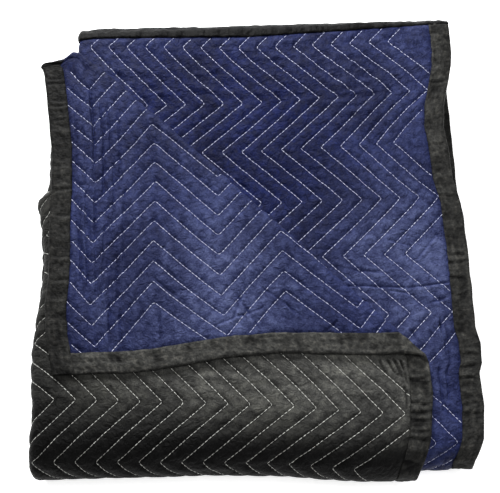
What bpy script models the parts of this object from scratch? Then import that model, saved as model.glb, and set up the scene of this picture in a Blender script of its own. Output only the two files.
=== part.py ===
"""A quilted moving blanket, bound all round with tape, folded in four both ways.

The shell is navy on one face and black on the other. The blanket is drawn as a flat
pattern, u across and v along, and then every point of it is folded into place:
first in half and in half again across, which stacks four plies into a slab, and then
in half and in half again along, which stacks four slabs. Last, the free corner of the
top ply is turned back over itself on a diagonal.

Metres, +Z up. The bundle stands on z = 0 with its front roll towards -Y.
"""
import math

import bmesh
import bpy
import numpy as np
from mathutils import Vector
from mathutils.geometry import delaunay_2d_cdt
from mathutils.kdtree import KDTree

# Plies: 16 of them, four to a slab
PLY_PITCH = 0.005
SLAB_PITCH = 4 * PLY_PITCH
CREST_HALF = 0.0021         # half thickness between two stitch lines
STITCH_HALF = 0.0011        # and where a stitch line pulls the faces together
PLAIN_HALF = 0.0018         # where a ply is hidden, it is left smooth
RIM_HALF = 0.0007           # pressed flat inside the binding

# Where the folds lie, in the blanket's own frame (x right, y back)
FREE_EDGE_X = 0.2430        # right edge of the second ply
INNER_FOLD_X = -0.1977      # left fold of the second ply, inside the outer fold
HIDDEN_FOLD_X = 0.2210      # right fold between the third and the fourth ply
OUTER_FOLD_X = -0.2290      # left fold that carries the top ply
TOP_EDGE_X = 0.1980         # right edge of the top ply
BURIED_EDGE_Y = 0.2120      # back edges of the second slab
INNER_BEND_Y = -0.2230      # front fold of the two middle slabs
BACK_BEND_Y = 0.2270        # back fold of the two lower slabs
ROLL_Y = -0.2275            # centre of the big roll in front
BACK_EDGE_Y = 0.2810        # back edges of the top slab
MIDDLE_Z = 0.0396           # half way between the second and the third slab
DROOP_FROM_Y = 0.2500       # the back edges tip down from here
DRAWN_IN = 0.050            # how much further in the ply under the top one ends,
DRAWN_IN_OVER = 0.12        # from nothing at its right-hand fold to all of it in this
LEFT_REACH = 0.0095         # how much further back the upper plies reach at the left
DROOP_RADIUS = 0.012
DROOP_ANGLE = math.radians(46)  # in the middle; more to the right, less to the left
DROOP_TWIST = math.radians(44)  # how much more, over a metre
TOP_PLY_LOOSE = 0.0056      # how far the top ply stands off the front roll, at the right
FRONT_BACK = 0.0024         # how far back the front roll is pressed, but at its right end,
FRONT_LEFT_BACK = 0.0060    # and how much more at its left end
LOW_FOLDS_IN = 0.0070       # how far in the lower slabs' left folds lie, behind
CENTRE_X = 0.0018           # takes the bounding box's centre on to the z axis
CENTRE_Y = -0.0003

# The turned-back corner
DIAGONAL_SUM = 0.0255       # x + y along the axis of the diagonal fold
DIAGONAL_RADIUS = 0.0036
FLAP_SETTLES = 0.0016       # how far the flap sinks on to the ply below it
TUCK = 0.0470               # how far the back end of the outer fold is drawn forward,
TUCK_FULL_X = -0.2400       # from nothing at the next two lines to all of it here
TUCK_FROM_X = -0.1820       # on the top ply
TUCK_FROM_X_BELOW = -0.2040  # on the ply that it turns into

# Quilting: parallel zigzag lines that run along v. A row is where all of them turn; the
# cloth is fed unevenly, so rows and lines drift a little.
ZIGZAG_DEPTH = 3.05         # in needle pitches
ZIGZAG_ROW = 0.0666         # from a row of points to the next, in the hidden plies
# Where the rows lie on the second and on the top ply, back from the back edge, in mm, and
# how many mm they climb over a metre of width: (row, second, climb, top, climb)
ROWS = [(0, 39, -19, 51, 0), (1, 110, 8, 120, 0), (2, 173, -2, 192, 0), (3, 238, -27, 261, 0),
        (4, 304, -27, 334, 0), (5, 372, -27, 397, -8), (6, 444, -19, 465, -17), (7, 520, 0, 526, -40)]
# Where a needle row starts on the second ply, its pitch there, and the top ply's shift, in
# mm: (row, start, pitch, shift)
NEEDLES = [(0, 7.4, 22.3, -4.9), (1, 1.9, 22.45, -2.3), (2, -0.5, 22.9, 0.7), (3, 1.7, 22.9, 0.8),
           (4, 1.7, 23.3, -3.0), (5, 1.6, 23.5, -2.5), (6, 3.0, 23.6, -3.5), (7, 4.5, 23.7, -0.5)]
TOP_NEEDLE, TOP_NEEDLE_U, TOP_PITCH = 60, 1.3437, 0.0239
FIRST_LINE, LAST_LINE = 3, 78  # the side edges are left plain beyond these lines
SECOND_TO, TOP_FROM = 22, 58  # needles that the second ply ends at and the top ply starts at

# Binding tape, folded over each edge
TAPE_WIDTH = 0.024
TAPE_THICK = 0.0009
TAPE_GAP = 0.0005
TAPE_MIDDLE = RIM_HALF + TAPE_GAP + TAPE_THICK / 2
BUTT_GAP = 0.0010
MERGE = 0.0007              # points of the flat pattern closer than this are one

NAVY = (0.028, 0.033, 0.125, 1.0)
BLACK_TAPE = (0.022, 0.022, 0.024, 1.0)

CCW, CW = 1, -1


def legs_across():
    """Flat runs and bends of the first folding, as rows of length, turn and radius."""
    inner, outer = 0.5 * PLY_PITCH, 1.5 * PLY_PITCH
    return [
        (FREE_EDGE_X - INNER_FOLD_X, 0, 0),
        (math.pi * inner, CCW, inner),
        (HIDDEN_FOLD_X - INNER_FOLD_X, 0, 0),
        (math.pi * inner, CW, inner),
        (HIDDEN_FOLD_X - OUTER_FOLD_X, 0, 0),
        (math.pi * outer, CW, outer),
        (TOP_EDGE_X - OUTER_FOLD_X, 0, 0),
    ]


def legs_along():
    """The same for the second folding. The top ply keeps its true length on a bend,
    so a bend's length is taken on the top ply, which lies 1.5 plies off the middle."""
    inner, outer = 0.5 * SLAB_PITCH, 1.5 * SLAB_PITCH
    ply = 1.5 * PLY_PITCH
    return [
        (BURIED_EDGE_Y - INNER_BEND_Y, 0, 0),
        (math.pi * (inner - ply), CCW, inner),
        (BACK_BEND_Y - INNER_BEND_Y, 0, 0),
        (math.pi * (inner + ply), CW, inner),
        (BACK_BEND_Y - ROLL_Y, 0, 0),
        (math.pi * (outer + ply), CW, outer),
        (BACK_EDGE_Y - ROLL_Y, 0, 0),
    ]


ACROSS = legs_across()
ALONG = legs_along()
WIDTH = sum(leg[0] for leg in ACROSS)
LENGTH = sum(leg[0] for leg in ALONG)


def leg_start(legs, index):
    return sum(leg[0] for leg in legs[:index])


TOP_PLY_U = leg_start(ACROSS, 6)
OUTER_FOLD_U = leg_start(ACROSS, 5)
THIRD_PLY_U = leg_start(ACROSS, 4)
ROLL_V = leg_start(ALONG, 5)
TOP_SLAB_V = leg_start(ALONG, 6)


def walk(legs, start, s):
    """Point and left-hand normal after a distance s along the legs, from a start that
    heads towards minus the first axis."""
    px, py = start
    heading = math.pi
    x, y = np.zeros_like(s), np.zeros_like(s)
    nx, ny = np.zeros_like(s), np.zeros_like(s)
    done = 0.0
    last = len(legs) - 1
    for index, (length, turn, radius) in enumerate(legs):
        here = (s >= done) | (index == 0)
        if index < last:
            here &= s < done + length
        t = s[here] - done
        if turn:
            angle = heading + turn * math.pi * t / length
            cx = px - turn * radius * math.sin(heading)
            cy = py + turn * radius * math.cos(heading)
            x[here] = cx + turn * radius * np.sin(angle)
            y[here] = cy - turn * radius * np.cos(angle)
            px = cx + turn * radius * math.sin(heading + turn * math.pi)
            py = cy - turn * radius * math.cos(heading + turn * math.pi)
            heading += turn * math.pi
        else:
            angle = np.full_like(t, heading)
            x[here] = px + t * math.cos(heading)
            y[here] = py + t * math.sin(heading)
            px += length * math.cos(heading)
            py += length * math.sin(heading)
        nx[here], ny[here] = -np.sin(angle), np.cos(angle)
        done += length
    return x, y, nx, ny


def ease(t):
    """Smooth step from 0 to 1."""
    t = np.clip(t, 0.0, 1.0)
    return t * t * (3.0 - 2.0 * t)


def from_table(at, rows):
    """A value read between the rows (at, value) of a short table, in millimetres."""
    keys, values = zip(*rows)
    return np.interp(np.asarray(at) * 1000, keys, values) / 1000


# How far an edge or a fold stands off its place, as rows of (where, how far) in mm
TOP_EDGE_OFF = [(-280, -31), (-236, -25), (-203, -16), (-156, -11), (-125, -13), (-99, -18), (38, -20),
                (91, -17), (155, -7), (189, -3), (262, -3)]
BACK_EDGE_OFF = [(-232, -36), (-212, -8), (-178, -6), (-147, -12), (-118, -14), (-71, -19),
                 (-15, -21), (47, -18), (117, -18), (153, -22), (180, -27), (205, -33)]
FRONT_SLIP = [(-232, 0), (-209, 0), (156, -26), (200, -29)]
SECOND_EDGE_OFF = [(-262, -13), (-235, -7), (-199, -4), (-109, -2), (-26, -4), (29, -6),
                   (60, -13), (100, -13), (125, -14), (151, -12), (185, -4), (205, 0), (222, 3)]
OUTER_FOLD_OFF = [(-206, 2), (-150, -2), (-133, -2), (-79, 2), (-28, 4), (2, 2), (25, 0),
                  (37, -3), (46, -3), (56, 6), (66, 9), (90, 9), (150, 10), (192, 2)]
# How much shorter than the other plies the second one is at the back
SECOND_SHORT = [(-190, 15), (0, 12), (110, 8), (219, 3)]


def ply_slip(u, v):
    """Slip (dx, dv) of a ply on its slab: the top ply slips both ways, the ply that it turns
    into is drawn in from the back, and the upper two reach further back at the left."""
    x = walk(ACROSS, (FREE_EDGE_X, 0.0), u)[0]
    y = BACK_EDGE_Y + v - LENGTH
    forward = ease((BACK_EDGE_Y - y) / (BACK_EDGE_Y - ROLL_Y))
    under = ease((v - TOP_SLAB_V + 0.45) / 0.30)
    top = np.clip((u - TOP_PLY_U) / (WIDTH - TOP_PLY_U), 0.0, 1.0)
    dx = top * under * from_table(y, TOP_EDGE_OFF)
    top_x = np.where(u > TOP_PLY_U, x, OUTER_FOLD_X)
    top_dv = ((1 - forward) * from_table(top_x, BACK_EDGE_OFF)
              + forward * from_table(top_x, FRONT_SLIP))
    drawn = np.clip((HIDDEN_FOLD_X - x) / DRAWN_IN_OVER, 0.0, 1.0) * (u > THIRD_PLY_U)
    turned = np.clip((u - OUTER_FOLD_U) / (TOP_PLY_U - OUTER_FOLD_U), 0.0, 1.0)
    upper = np.clip(-x / 0.2, 0.0, 1.0) * (u < THIRD_PLY_U) * under
    drawn_back = (1 - turned) * drawn * DRAWN_IN - upper * LEFT_REACH
    short = (u < THIRD_PLY_U) * ease((v - TOP_SLAB_V + 0.02) / 0.12) * from_table(x, SECOND_SHORT)
    return dx, turned * under * top_dv - drawn_back * (1 - forward) - short


def turn_corner(x, y, rise):
    """Fold what lies beyond the diagonal up and over, round a half circle. rise is the
    height above the top ply's middle. Returns x, y, the new rise, the distance beyond the
    axis, and the place (x, y) that the tuck goes by."""
    beyond = (x + y - DIAGONAL_SUM) / math.sqrt(2)
    r = DIAGONAL_RADIUS
    phi = np.clip(beyond / r, 0.0, math.pi)
    over = beyond - math.pi * r
    sink = FLAP_SETTLES * ease(over / 0.05)
    along = np.where(beyond <= 0, beyond, np.where(over >= 0, -over, (r - rise) * np.sin(phi)))
    new_rise = np.where(beyond <= 0, rise,
                        np.where(over >= 0, 2 * r - rise - sink, r - (r - rise) * np.cos(phi)))
    shift = (along - beyond) / math.sqrt(2)
    before, after = np.minimum(beyond, 0.0) / math.sqrt(2), np.maximum(over, 0.0) / math.sqrt(2)
    tuck_x = (DIAGONAL_SUM + x - y) / 2 + before + after
    tuck_y = (DIAGONAL_SUM - x + y) / 2 + before - after
    return x + shift, y + shift, new_rise, beyond, tuck_x, tuck_y


def settle(x, y, z, low):
    """The bundle is uneven: its top sags to the sides and rolls a little, its lower slabs
    (low) lean out to the left and in again behind, and its underside stays flat."""
    up = z / 0.08
    wave = 0.0012 * np.sin(7.0 * x + 0.6) * np.cos(6.0 * y - 0.4)
    sides = 0.0030 * (x / 0.24) ** 2 + 0.0030 * (y / 0.26) ** 2
    lean = 0.0050 * (1 - np.clip(up, 0, 1)) * np.clip(-x / 0.24, 0, 1)
    lean -= LOW_FOLDS_IN * low * ease((y - 0.045) / 0.025) * ease((-x - 0.14) / 0.09)
    sway = 0.0020 * np.sin(75.0 * z + 0.8)
    back = FRONT_BACK * (1 - ease((x + 0.05) / 0.20)) + FRONT_LEFT_BACK * ease(-x / 0.24)
    back = back * ease((-0.05 - y) / 0.18)
    return x - lean + sway - CENTRE_X, y + 0.7 * sway + back - CENTRE_Y, z + up * (wave - sides)


def fold(u, v, n):
    """Where the flat point (u, v) goes, n off the middle of the cloth towards its black
    face: walked across, then along, then over the droop, the diagonal and the tuck."""
    u, v, n = (a.astype(float) for a in np.broadcast_arrays(u, v, n))
    x, level, ax, az = walk(ACROSS, (FREE_EDGE_X, 0.5 * PLY_PITCH), u)
    dx, dv = ply_slip(u, v)
    second = (1 - ease(u / 0.15)) * ease((v - ROLL_V + 0.05) / 0.12)
    dx = dx + second * from_table(BACK_EDGE_Y + v - LENGTH, SECOND_EDGE_OFF)
    v = v + dv
    round_roll = np.clip((v - ROLL_V) / (TOP_SLAB_V - ROLL_V), 0.0, 1.0)
    loose = TOP_PLY_LOOSE * ease((x + 0.05) / 0.20) * np.sin(math.pi * round_roll) ** 2
    x = x + dx + n * ax
    level = level + loose * (u > TOP_PLY_U) + n * az

    y, z, by, bz = walk(ALONG, (BURIED_EDGE_Y, MIDDLE_Z + 0.5 * SLAB_PITCH), v)
    straight_y, straight_z = y + level * by, z + level * bz
    tip = np.where(v > TOP_SLAB_V, y - DROOP_FROM_Y, -1.0)
    most = DROOP_ANGLE + DROOP_TWIST * x
    angle = np.clip(tip / DROOP_RADIUS, 0.0, most)
    rest = np.maximum(tip - DROOP_RADIUS * most, 0.0)
    droop_y = DROOP_FROM_Y + (DROOP_RADIUS + level) * np.sin(angle) + rest * np.cos(angle)
    droop_z = z - DROOP_RADIUS + (DROOP_RADIUS + level) * np.cos(angle) - rest * np.sin(angle)
    droops = (tip > 0) & (u < OUTER_FOLD_U)
    y, z = np.where(droops, droop_y, straight_y), np.where(droops, droop_z, straight_z)

    top = (u > TOP_PLY_U) & (v > TOP_SLAB_V)
    ply_z = MIDDLE_Z + 1.5 * SLAB_PITCH + 1.5 * PLY_PITCH
    tx, ty, rise, beyond, at_x, at_y = turn_corner(x, y, z - ply_z)
    at_x, at_y = np.where(top, at_x, x), np.where(top, at_y, y)
    x, y, z = np.where(top, tx, x), np.where(top, ty, y), np.where(top, ply_z + rise, z)
    beyond = np.where(top, beyond, -1.0)

    outer = (u > THIRD_PLY_U) & (v > TOP_SLAB_V)
    turned = np.clip((u - OUTER_FOLD_U) / (TOP_PLY_U - OUTER_FOLD_U), 0, 1)
    tuck_x = TUCK_FROM_X_BELOW + (TUCK_FROM_X - TUCK_FROM_X_BELOW) * turned
    near = np.clip((tuck_x - at_x) / (tuck_x - TUCK_FULL_X), 0, 1)
    quick, slow = ease((at_y - 0.122) / 0.135), ease((at_y + 0.028) / 0.285)
    back = quick + (slow - quick) * ease(-beyond / 0.02)
    y = y - np.where(outer, TUCK * near * back, 0.0)
    bulge = from_table(y, OUTER_FOLD_OFF) * (1 - ease((x + 0.225) / 0.08)) * ease(-beyond / 0.02)
    x = x + np.where(outer, bulge, 0.0)
    return settle(x, y, z, v < ROLL_V)


def needle_u(needle, row):
    """u of a needle at a row: evenly spaced on the second ply and on the top ply, each with
    a start and a pitch of its own, and evenly again between the two."""
    rows, start, pitch, shift = (np.array(c) for c in zip(*NEEDLES))
    start, pitch = (np.interp(row, rows, c) / 1000 for c in (start, pitch))
    top = TOP_NEEDLE_U + np.interp(row, rows, shift) / 1000
    second_end = start + pitch * SECOND_TO
    top_start = top + TOP_PITCH * (TOP_FROM - TOP_NEEDLE)
    share = (needle - SECOND_TO) / (TOP_FROM - SECOND_TO)
    between = second_end + (top_start - second_end) * share
    u = np.where(share < 0, start + pitch * needle, between)
    return np.where(share > 1, top + TOP_PITCH * (needle - TOP_NEEDLE), u)


def u_needle(u, row):
    """The needle that runs at u: needle_u() the other way round."""
    rows, start, pitch, shift = (np.array(c) for c in zip(*NEEDLES))
    start, pitch = (np.interp(row, rows, c) / 1000 for c in (start, pitch))
    top = TOP_NEEDLE_U + np.interp(row, rows, shift) / 1000
    second_end = start + pitch * SECOND_TO
    top_start = top + TOP_PITCH * (TOP_FROM - TOP_NEEDLE)
    share = (u - second_end) / (top_start - second_end)
    needle = np.where(share < 0, (u - start) / pitch, SECOND_TO + share * (TOP_FROM - SECOND_TO))
    return np.where(share > 1, TOP_NEEDLE + (u - top) / TOP_PITCH, needle)


def row_v(row, u):
    """v of a row: read from the tables near the back edge, evenly spaced beyond them."""
    rows, second, second_climb, top, top_climb = (np.array(c) for c in zip(*ROWS))
    beyond = np.maximum(row - rows[-1], 0) * ZIGZAG_ROW + np.minimum(row, 0) * ZIGZAG_ROW
    on_second = (np.interp(row, rows, second) + np.interp(row, rows, second_climb) * (u - 0.19)) / 1000
    on_top = (np.interp(row, rows, top) + np.interp(row, rows, top_climb) * (u - 1.56)) / 1000
    share = np.clip((u - 0.45) / 0.85, 0, 1)
    return LENGTH - on_second - (on_top - on_second) * share - beyond


def v_row(v, u):
    """The row that runs at v: row_v() the other way round, by corrections of a guess."""
    row = (LENGTH - 0.050 - v) / 0.067
    for _ in range(5):
        row = row + (row_v(row, u) - v) / 0.067
    return row


def on_lattice(line, row):
    """Flat place (u, v) of a point on a stitch line, or between two, at a row."""
    u = needle_u(line - ZIGZAG_DEPTH * np.abs((row + 1) % 2 - 1), row)
    return u, row_v(row, u)


def stitch_line(u, v):
    """The number of the stitch line at a flat place, a fraction between two lines."""
    row = v_row(v, u)
    return u_needle(u, row) + ZIGZAG_DEPTH * np.abs((row + 1) % 2 - 1)


def half_thickness(u, v):
    """Half the cloth's thickness: thin on a stitch, full between two, flat in the rim."""
    line = stitch_line(u, v)
    away = 1 - 2 * np.abs(line % 1 - 0.5)
    beyond = np.maximum(FIRST_LINE - line, line - LAST_LINE)
    away = np.where(beyond > 0, np.minimum(2 * beyond, 1), away)
    quilted = STITCH_HALF + (CREST_HALF - STITCH_HALF) * away
    plain = ~in_quilted(u, v, 1e-5)
    edge = np.minimum(np.minimum(u, WIDTH - u), np.minimum(v, LENGTH - v))
    underside = (u >= TOP_PLY_U) & (v >= leg_start(ALONG, 4) - 1e-6) & (v <= ROLL_V + 1e-6)
    half = np.where(plain, np.where(underside, CREST_HALF, PLAIN_HALF), quilted)
    return RIM_HALF + (half - RIM_HALF) * np.clip((edge - RIM_FLAT) / (RIM_FULL - RIM_FLAT), 0, 1)


RIM_FLAT = TAPE_WIDTH + 0.0014
RIM_FULL = TAPE_WIDTH + 0.0042
BODY_INSET = TAPE_THICK + 0.0012

# Parts of the flat pattern that show, each a convex patch: rows (a, b, c) that keep the
# side where a u + b v is at least c
TOP_DIAGONAL = DIAGONAL_SUM - OUTER_FOLD_X + TOP_PLY_U + LENGTH - BACK_EDGE_Y
SECOND_DIAGONAL = DIAGONAL_SUM - FREE_EDGE_X + LENGTH - BACK_EDGE_Y - 0.012
QUILTED = [
    [(1, 0, TOP_PLY_U + 0.004), (-1, 0, RIM_FULL - WIDTH),
     (0, 1, ROLL_V + 0.034), (0, -1, -TOP_SLAB_V - 0.088)],
    [(-1, 0, RIM_FULL - WIDTH), (0, -1, RIM_FULL - LENGTH),
     (0, 1, TOP_SLAB_V + 0.088), (1, 1, TOP_DIAGONAL)],
    [(1, 0, RIM_FULL), (-1, 0, -0.078), (0, 1, ROLL_V + 0.040), (0, -1, -TOP_SLAB_V - 0.115)],
    [(1, 0, RIM_FULL), (0, -1, RIM_FULL - LENGTH),
     (0, 1, TOP_SLAB_V + 0.115), (-1, 1, SECOND_DIAGONAL)],
]


def in_quilted(u, v, inset):
    hit = np.zeros(np.shape(u), bool)
    for patch in QUILTED:
        inside = np.ones(np.shape(u), bool)
        for a, b, c in patch:
            inside &= a * u + b * v > c + inset
        hit |= inside
    return hit


def bend_stations(legs, steps):
    """Distances of the facet lines of every bend; steps gives the facets of each."""
    stations = []
    for index, count in steps.items():
        start, length = leg_start(legs, index), legs[index][0]
        stations += [start + length * k / count for k in range(count + 1)]
    return stations


BENDS_U = bend_stations(ACROSS, {1: 3, 3: 3, 5: 5})
BENDS_V = bend_stations(ALONG, {1: 5, 3: 5, 5: 8})
DROOP_V = LENGTH - BACK_EDGE_Y + DROOP_FROM_Y


def on_runs(legs, gap):
    """Evenly spread distances along the flat runs, clear of the bends."""
    spots = []
    for index in (0, 2, 4, 6):
        start, length = leg_start(legs, index), legs[index][0]
        count = round(length / gap)
        spots += [start + length * (k + 0.5) / count for k in range(count)]
    return spots


GRID_U, GRID_V = on_runs(ACROSS, 0.15), on_runs(ALONG, 0.15)


def unslip(v, u, count=8):
    """The flat v that slips to v."""
    flat = v
    for _ in range(count):
        flat = v - float(ply_slip(np.array([u]), np.array([flat]))[1][0])
    return flat


def droop_line(share):
    """A facet line of the back edges' droop, a share of the way round it."""
    points = []
    for u in [0.0] + REACH_U + [THIRD_PLY_U, DRAWN_U]:
        x = float(walk(ACROSS, (FREE_EDGE_X, 0.0), np.array([u]))[0][0])
        points.append((u, unslip(DROOP_V + share * DROOP_RADIUS * (DROOP_ANGLE + DROOP_TWIST * x), u)))
    return points


def bend_row(v):
    """One facet line of a bend along: straight on three plies, slipped on the top one."""
    across = [0.0, TOP_PLY_U]
    if v < ROLL_V:
        return [(0.0, v), (WIDTH, v)]
    steps = np.linspace(TOP_PLY_U + 0.012, WIDTH, 6)
    return [(u, v) for u in across] + [(float(u), float(unslip(v, u))) for u in steps]


def diagonal_line(beyond):
    """A line of the flat top ply at a distance beyond the axis of the diagonal fold."""
    points = []
    for x in [-0.245, -0.229, -0.2205, -0.212, -0.195, -0.178] + np.linspace(-0.14, 0.215, 9).tolist():
        y = DIAGONAL_SUM + beyond * math.sqrt(2) - x
        u, v = TOP_PLY_U + x - OUTER_FOLD_X, LENGTH - BACK_EDGE_Y + y
        for _ in range(8):
            dx, dv = ply_slip(np.array([u]), np.array([v]))
            u = TOP_PLY_U + x - OUTER_FOLD_X - float(dx[0])
            v = LENGTH - BACK_EDGE_Y + y - float(dv[0])
        points.append((u, v))
    return points


def box_patch(u0, u1, v0, v1):
    return [(1, 0, u0), (-1, 0, -u1), (0, 1, v0), (0, -1, -v1)]


def clipped(points, patch):
    """The runs of a polyline that lie in a convex patch, cut at its sides."""
    runs, run = [], []
    for (ua, va), (ub, vb) in zip(points, points[1:]):
        t0, t1 = 0.0, 1.0
        for a, b, c in patch:
            here, step = a * ua + b * va - c, a * (ub - ua) + b * (vb - va)
            if abs(step) < 1e-12:
                t1 = t1 if here >= 0 else -1.0
            elif step > 0:
                t0 = max(t0, -here / step)
            else:
                t1 = min(t1, -here / step)
        if t1 <= t0:
            runs, run = runs + [run] * bool(run), []
            continue
        first = (ua + (ub - ua) * t0, va + (vb - va) * t0)
        run = (run or [first]) + [(ua + (ub - ua) * t1, va + (vb - va) * t1)]
        if t1 < 1.0:
            runs, run = runs + [run], []
    return runs + [run] * bool(run)


def crossing(line, at, axis):
    """Where a line meets u = at (axis 0) or v = at (axis 1)."""
    line = sorted(line, key=lambda p: p[axis])
    return float(np.interp(at, [p[axis] for p in line], [p[1 - axis] for p in line]))


def spread(first, last, marks, gap):
    """Stations from first to last that take in the marks and leave no long gap."""
    marks = sorted({round(m, 6) for m in marks if first < m < last})
    stations = [first]
    for mark in marks + [last]:
        reach = mark - stations[-1]
        if reach < 0.0008 and mark != last:
            continue
        count = max(1, math.ceil(reach / gap))
        start = stations[-1]
        stations += [start + reach * k / count for k in range(1, count + 1)]
    return stations


# Stations of the tape along each edge; the cloth has points at the same places
DRAWN_U = THIRD_PLY_U + DRAWN_IN_OVER * 0.95
REACH_X = [at / 1000 for at, _ in SECOND_SHORT]
REACH_U = sorted([FREE_EDGE_X - x for x in REACH_X] + [leg_start(ACROSS, 1), leg_start(ACROSS, 2)]
                 + [leg_start(ACROSS, 2) - INNER_FOLD_X + x for x in REACH_X[:-1]])
DROOP_LINES = [droop_line(share) for share in (0.0, 1 / 3, 2 / 3, 1.0)]
DIAGONALS = [diagonal_line(math.pi * DIAGONAL_RADIUS * k / 4) for k in range(5)]
CORNERS_U = [TAPE_WIDTH, WIDTH - TAPE_WIDTH]
ENDS_V = (TAPE_WIDTH + BUTT_GAP, LENGTH - TAPE_WIDTH - BUTT_GAP)
TUCK_U = TOP_PLY_U + TUCK_FROM_X - OUTER_FOLD_X
TUCK_BELOW_U = OUTER_FOLD_U - TUCK_FROM_X_BELOW + OUTER_FOLD_X
BACK_MARKS = [crossing(line, LENGTH, 1) for line in DIAGONALS] + REACH_U
BACK_MARKS += [TUCK_U, TUCK_BELOW_U, TOP_PLY_U + 0.017, THIRD_PLY_U + DRAWN_IN_OVER]
STATIONS = {
    "back": spread(0.0, WIDTH, CORNERS_U + BENDS_U + BACK_MARKS, 0.07),
    "front": spread(0.0, WIDTH, CORNERS_U + BENDS_U, 0.15),
    "second_ply": spread(*ENDS_V, BENDS_V + [line[0][1] for line in DROOP_LINES], 0.10),
    "top_ply": spread(*ENDS_V, [crossing(line, WIDTH, 0) for line in DIAGONALS], 0.08),
}
TOP_ROWS = [bend_row(v) for v in BENDS_V]
BENT_V = [unslip(v, WIDTH) for v in BENDS_V]
STATIONS["top_ply"] = [s for s in STATIONS["top_ply"] if min(abs(s - v) for v in BENT_V) > 0.004]


def merged(points):
    """For each point, the first point that lies within MERGE of it."""
    tree = KDTree(len(points))
    for index, point in enumerate(points):
        tree.insert((point[0], point[1], 0.0), index)
    tree.balance()
    target = list(range(len(points)))
    for index, point in enumerate(points):
        if target[index] == index:
            for _, other, _ in tree.find_range((point[0], point[1], 0.0), MERGE):
                if other > index:
                    target[other] = index
    return target


def triangulate(lines, loose):
    """Points and triangles of a flat piece, with edges along the given lines. Where
    lines cross close to one another, the crossings are merged and it is done again."""
    points, edges = [], []
    for line in lines:
        edges += [(len(points) + k, len(points) + k + 1) for k in range(len(line) - 1)]
        points += [(round(p, 6), round(q, 6)) for p, q in line]
    points += loose
    for _ in range(3):
        found = delaunay_2d_cdt([Vector(p) for p in points], edges, [], 0, 1e-6)
        points = [(p.x, p.y) for p in found[0]]
        target = merged(points)
        kept = sorted(set(target))
        number = {old: new for new, old in enumerate(kept)}
        edges = {tuple(sorted((number[target[a]], number[target[b]])))
                 for (a, b), source in zip(found[1], found[4]) if source}
        edges = [edge for edge in edges if edge[0] != edge[1]]
        points = [points[k] for k in kept]
    found = delaunay_2d_cdt([Vector(p) for p in points], edges, [], 0, 1e-6)
    return found[0], found[2]


def flat_pattern():
    """Points and triangles of the flat cloth, with an edge wherever it will bend."""
    u0, u1, v0, v1 = BODY_INSET, WIDTH - BODY_INSET, BODY_INSET, LENGTH - BODY_INSET
    lines = [[(u0, v0), (u1, v0), (u1, v1), (u0, v1), (u0, v0)]]
    rims_u = [RIM_FLAT, RIM_FULL, WIDTH - RIM_FULL, WIDTH - RIM_FLAT]
    rims_v = [RIM_FLAT, RIM_FULL, LENGTH - RIM_FULL, LENGTH - RIM_FLAT]
    lines += [[(u, v0), (u, v1)] for u in rims_u + BENDS_U]
    lines += [[(u0, v), (u1, v)] for v in rims_v]
    lines += [run for line in DROOP_LINES for run in clipped(line, box_patch(u0, u1, v0, v1))]
    for row in TOP_ROWS:
        lines += clipped(row, box_patch(u0, u1, v0, v1))
    for line in DIAGONALS:
        lines += clipped(line, box_patch(TOP_PLY_U, u1, TOP_SLAB_V, v1))
    lines += [[(u, TOP_SLAB_V + 0.2), (u, v1)] for u in (TUCK_U, TUCK_BELOW_U)]
    rungs = np.linspace(TOP_SLAB_V, LENGTH - RIM_FULL, 12)[1:-1].tolist()
    lines += [[(OUTER_FOLD_U - 0.10, v), (TOP_PLY_U + 0.03, v)] for v in rungs]
    for index in (1, 3, 5):
        low, high = leg_start(ALONG, index), leg_start(ALONG, index + 1)
        end = TOP_PLY_U if index == 5 else WIDTH
        lines += [[(u, low), (u, high)] for u in GRID_U if u < end]
        low, high = leg_start(ACROSS, index), leg_start(ACROSS, index + 1)
        lines += [[(low, v), (high, v)] for v in GRID_V]
    lines += [[(u, DROOP_V - 0.006), (u, v1)] for u in STATIONS["back"][1:-1] if u < OUTER_FOLD_U]
    lines += [[(u, LENGTH - RIM_FULL), (u, v1)] for u in STATIONS["back"][1:-1] if u > OUTER_FOLD_U]
    lines += [[(u, v0), (u, RIM_FULL)] for u in STATIONS["front"][1:-1]]
    lines += [[(u0, v), (RIM_FULL, v)] for v in STATIONS["second_ply"]]
    lines += [[(WIDTH - RIM_FULL, v), (u1, v)] for v in STATIONS["top_ply"]]
    rows = np.arange(-1.0, int(LENGTH / ZIGZAG_ROW) + 2)
    for half_line in range(2 * FIRST_LINE - 1, 2 * LAST_LINE + 2):
        us, vs = on_lattice(half_line / 2, rows)
        path = list(zip(us.tolist(), vs.tolist()))
        for patch in QUILTED:
            lines += clipped(path, patch)
    loose = [(u, v) for u in GRID_U for v in GRID_V if not in_quilted(np.array(u), np.array(v), -0.02)]

    return triangulate(lines, loose)


def new_object(name, bm, colour, roughness):
    """A mesh object with a material of its own, in the blanket's collection."""
    mesh = bpy.data.meshes.new(name)
    bmesh.ops.triangulate(bm, faces=bm.faces[:])
    bm.to_mesh(mesh)
    bm.free()
    material = bpy.data.materials.new(name)
    material.use_nodes = True
    shader = material.node_tree.nodes["Principled BSDF"]
    shader.inputs["Base Color"].default_value = colour
    shader.inputs["Roughness"].default_value = roughness
    shader.inputs["Metallic"].default_value = 0.0
    mesh.materials.append(material)
    obj = bpy.data.objects.new(name, mesh)
    COLLECTION.objects.link(obj)
    return obj


def put_points(mesh, placed):
    """Set a mesh's points from arrays x, y, z, and turn its faces outwards."""
    mesh.vertices.foreach_set("co", np.column_stack(placed).ravel())
    bm = bmesh.new()
    bm.from_mesh(mesh)
    bmesh.ops.recalc_face_normals(bm, faces=bm.faces[:])
    bm.to_mesh(mesh)
    bm.free()


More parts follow.
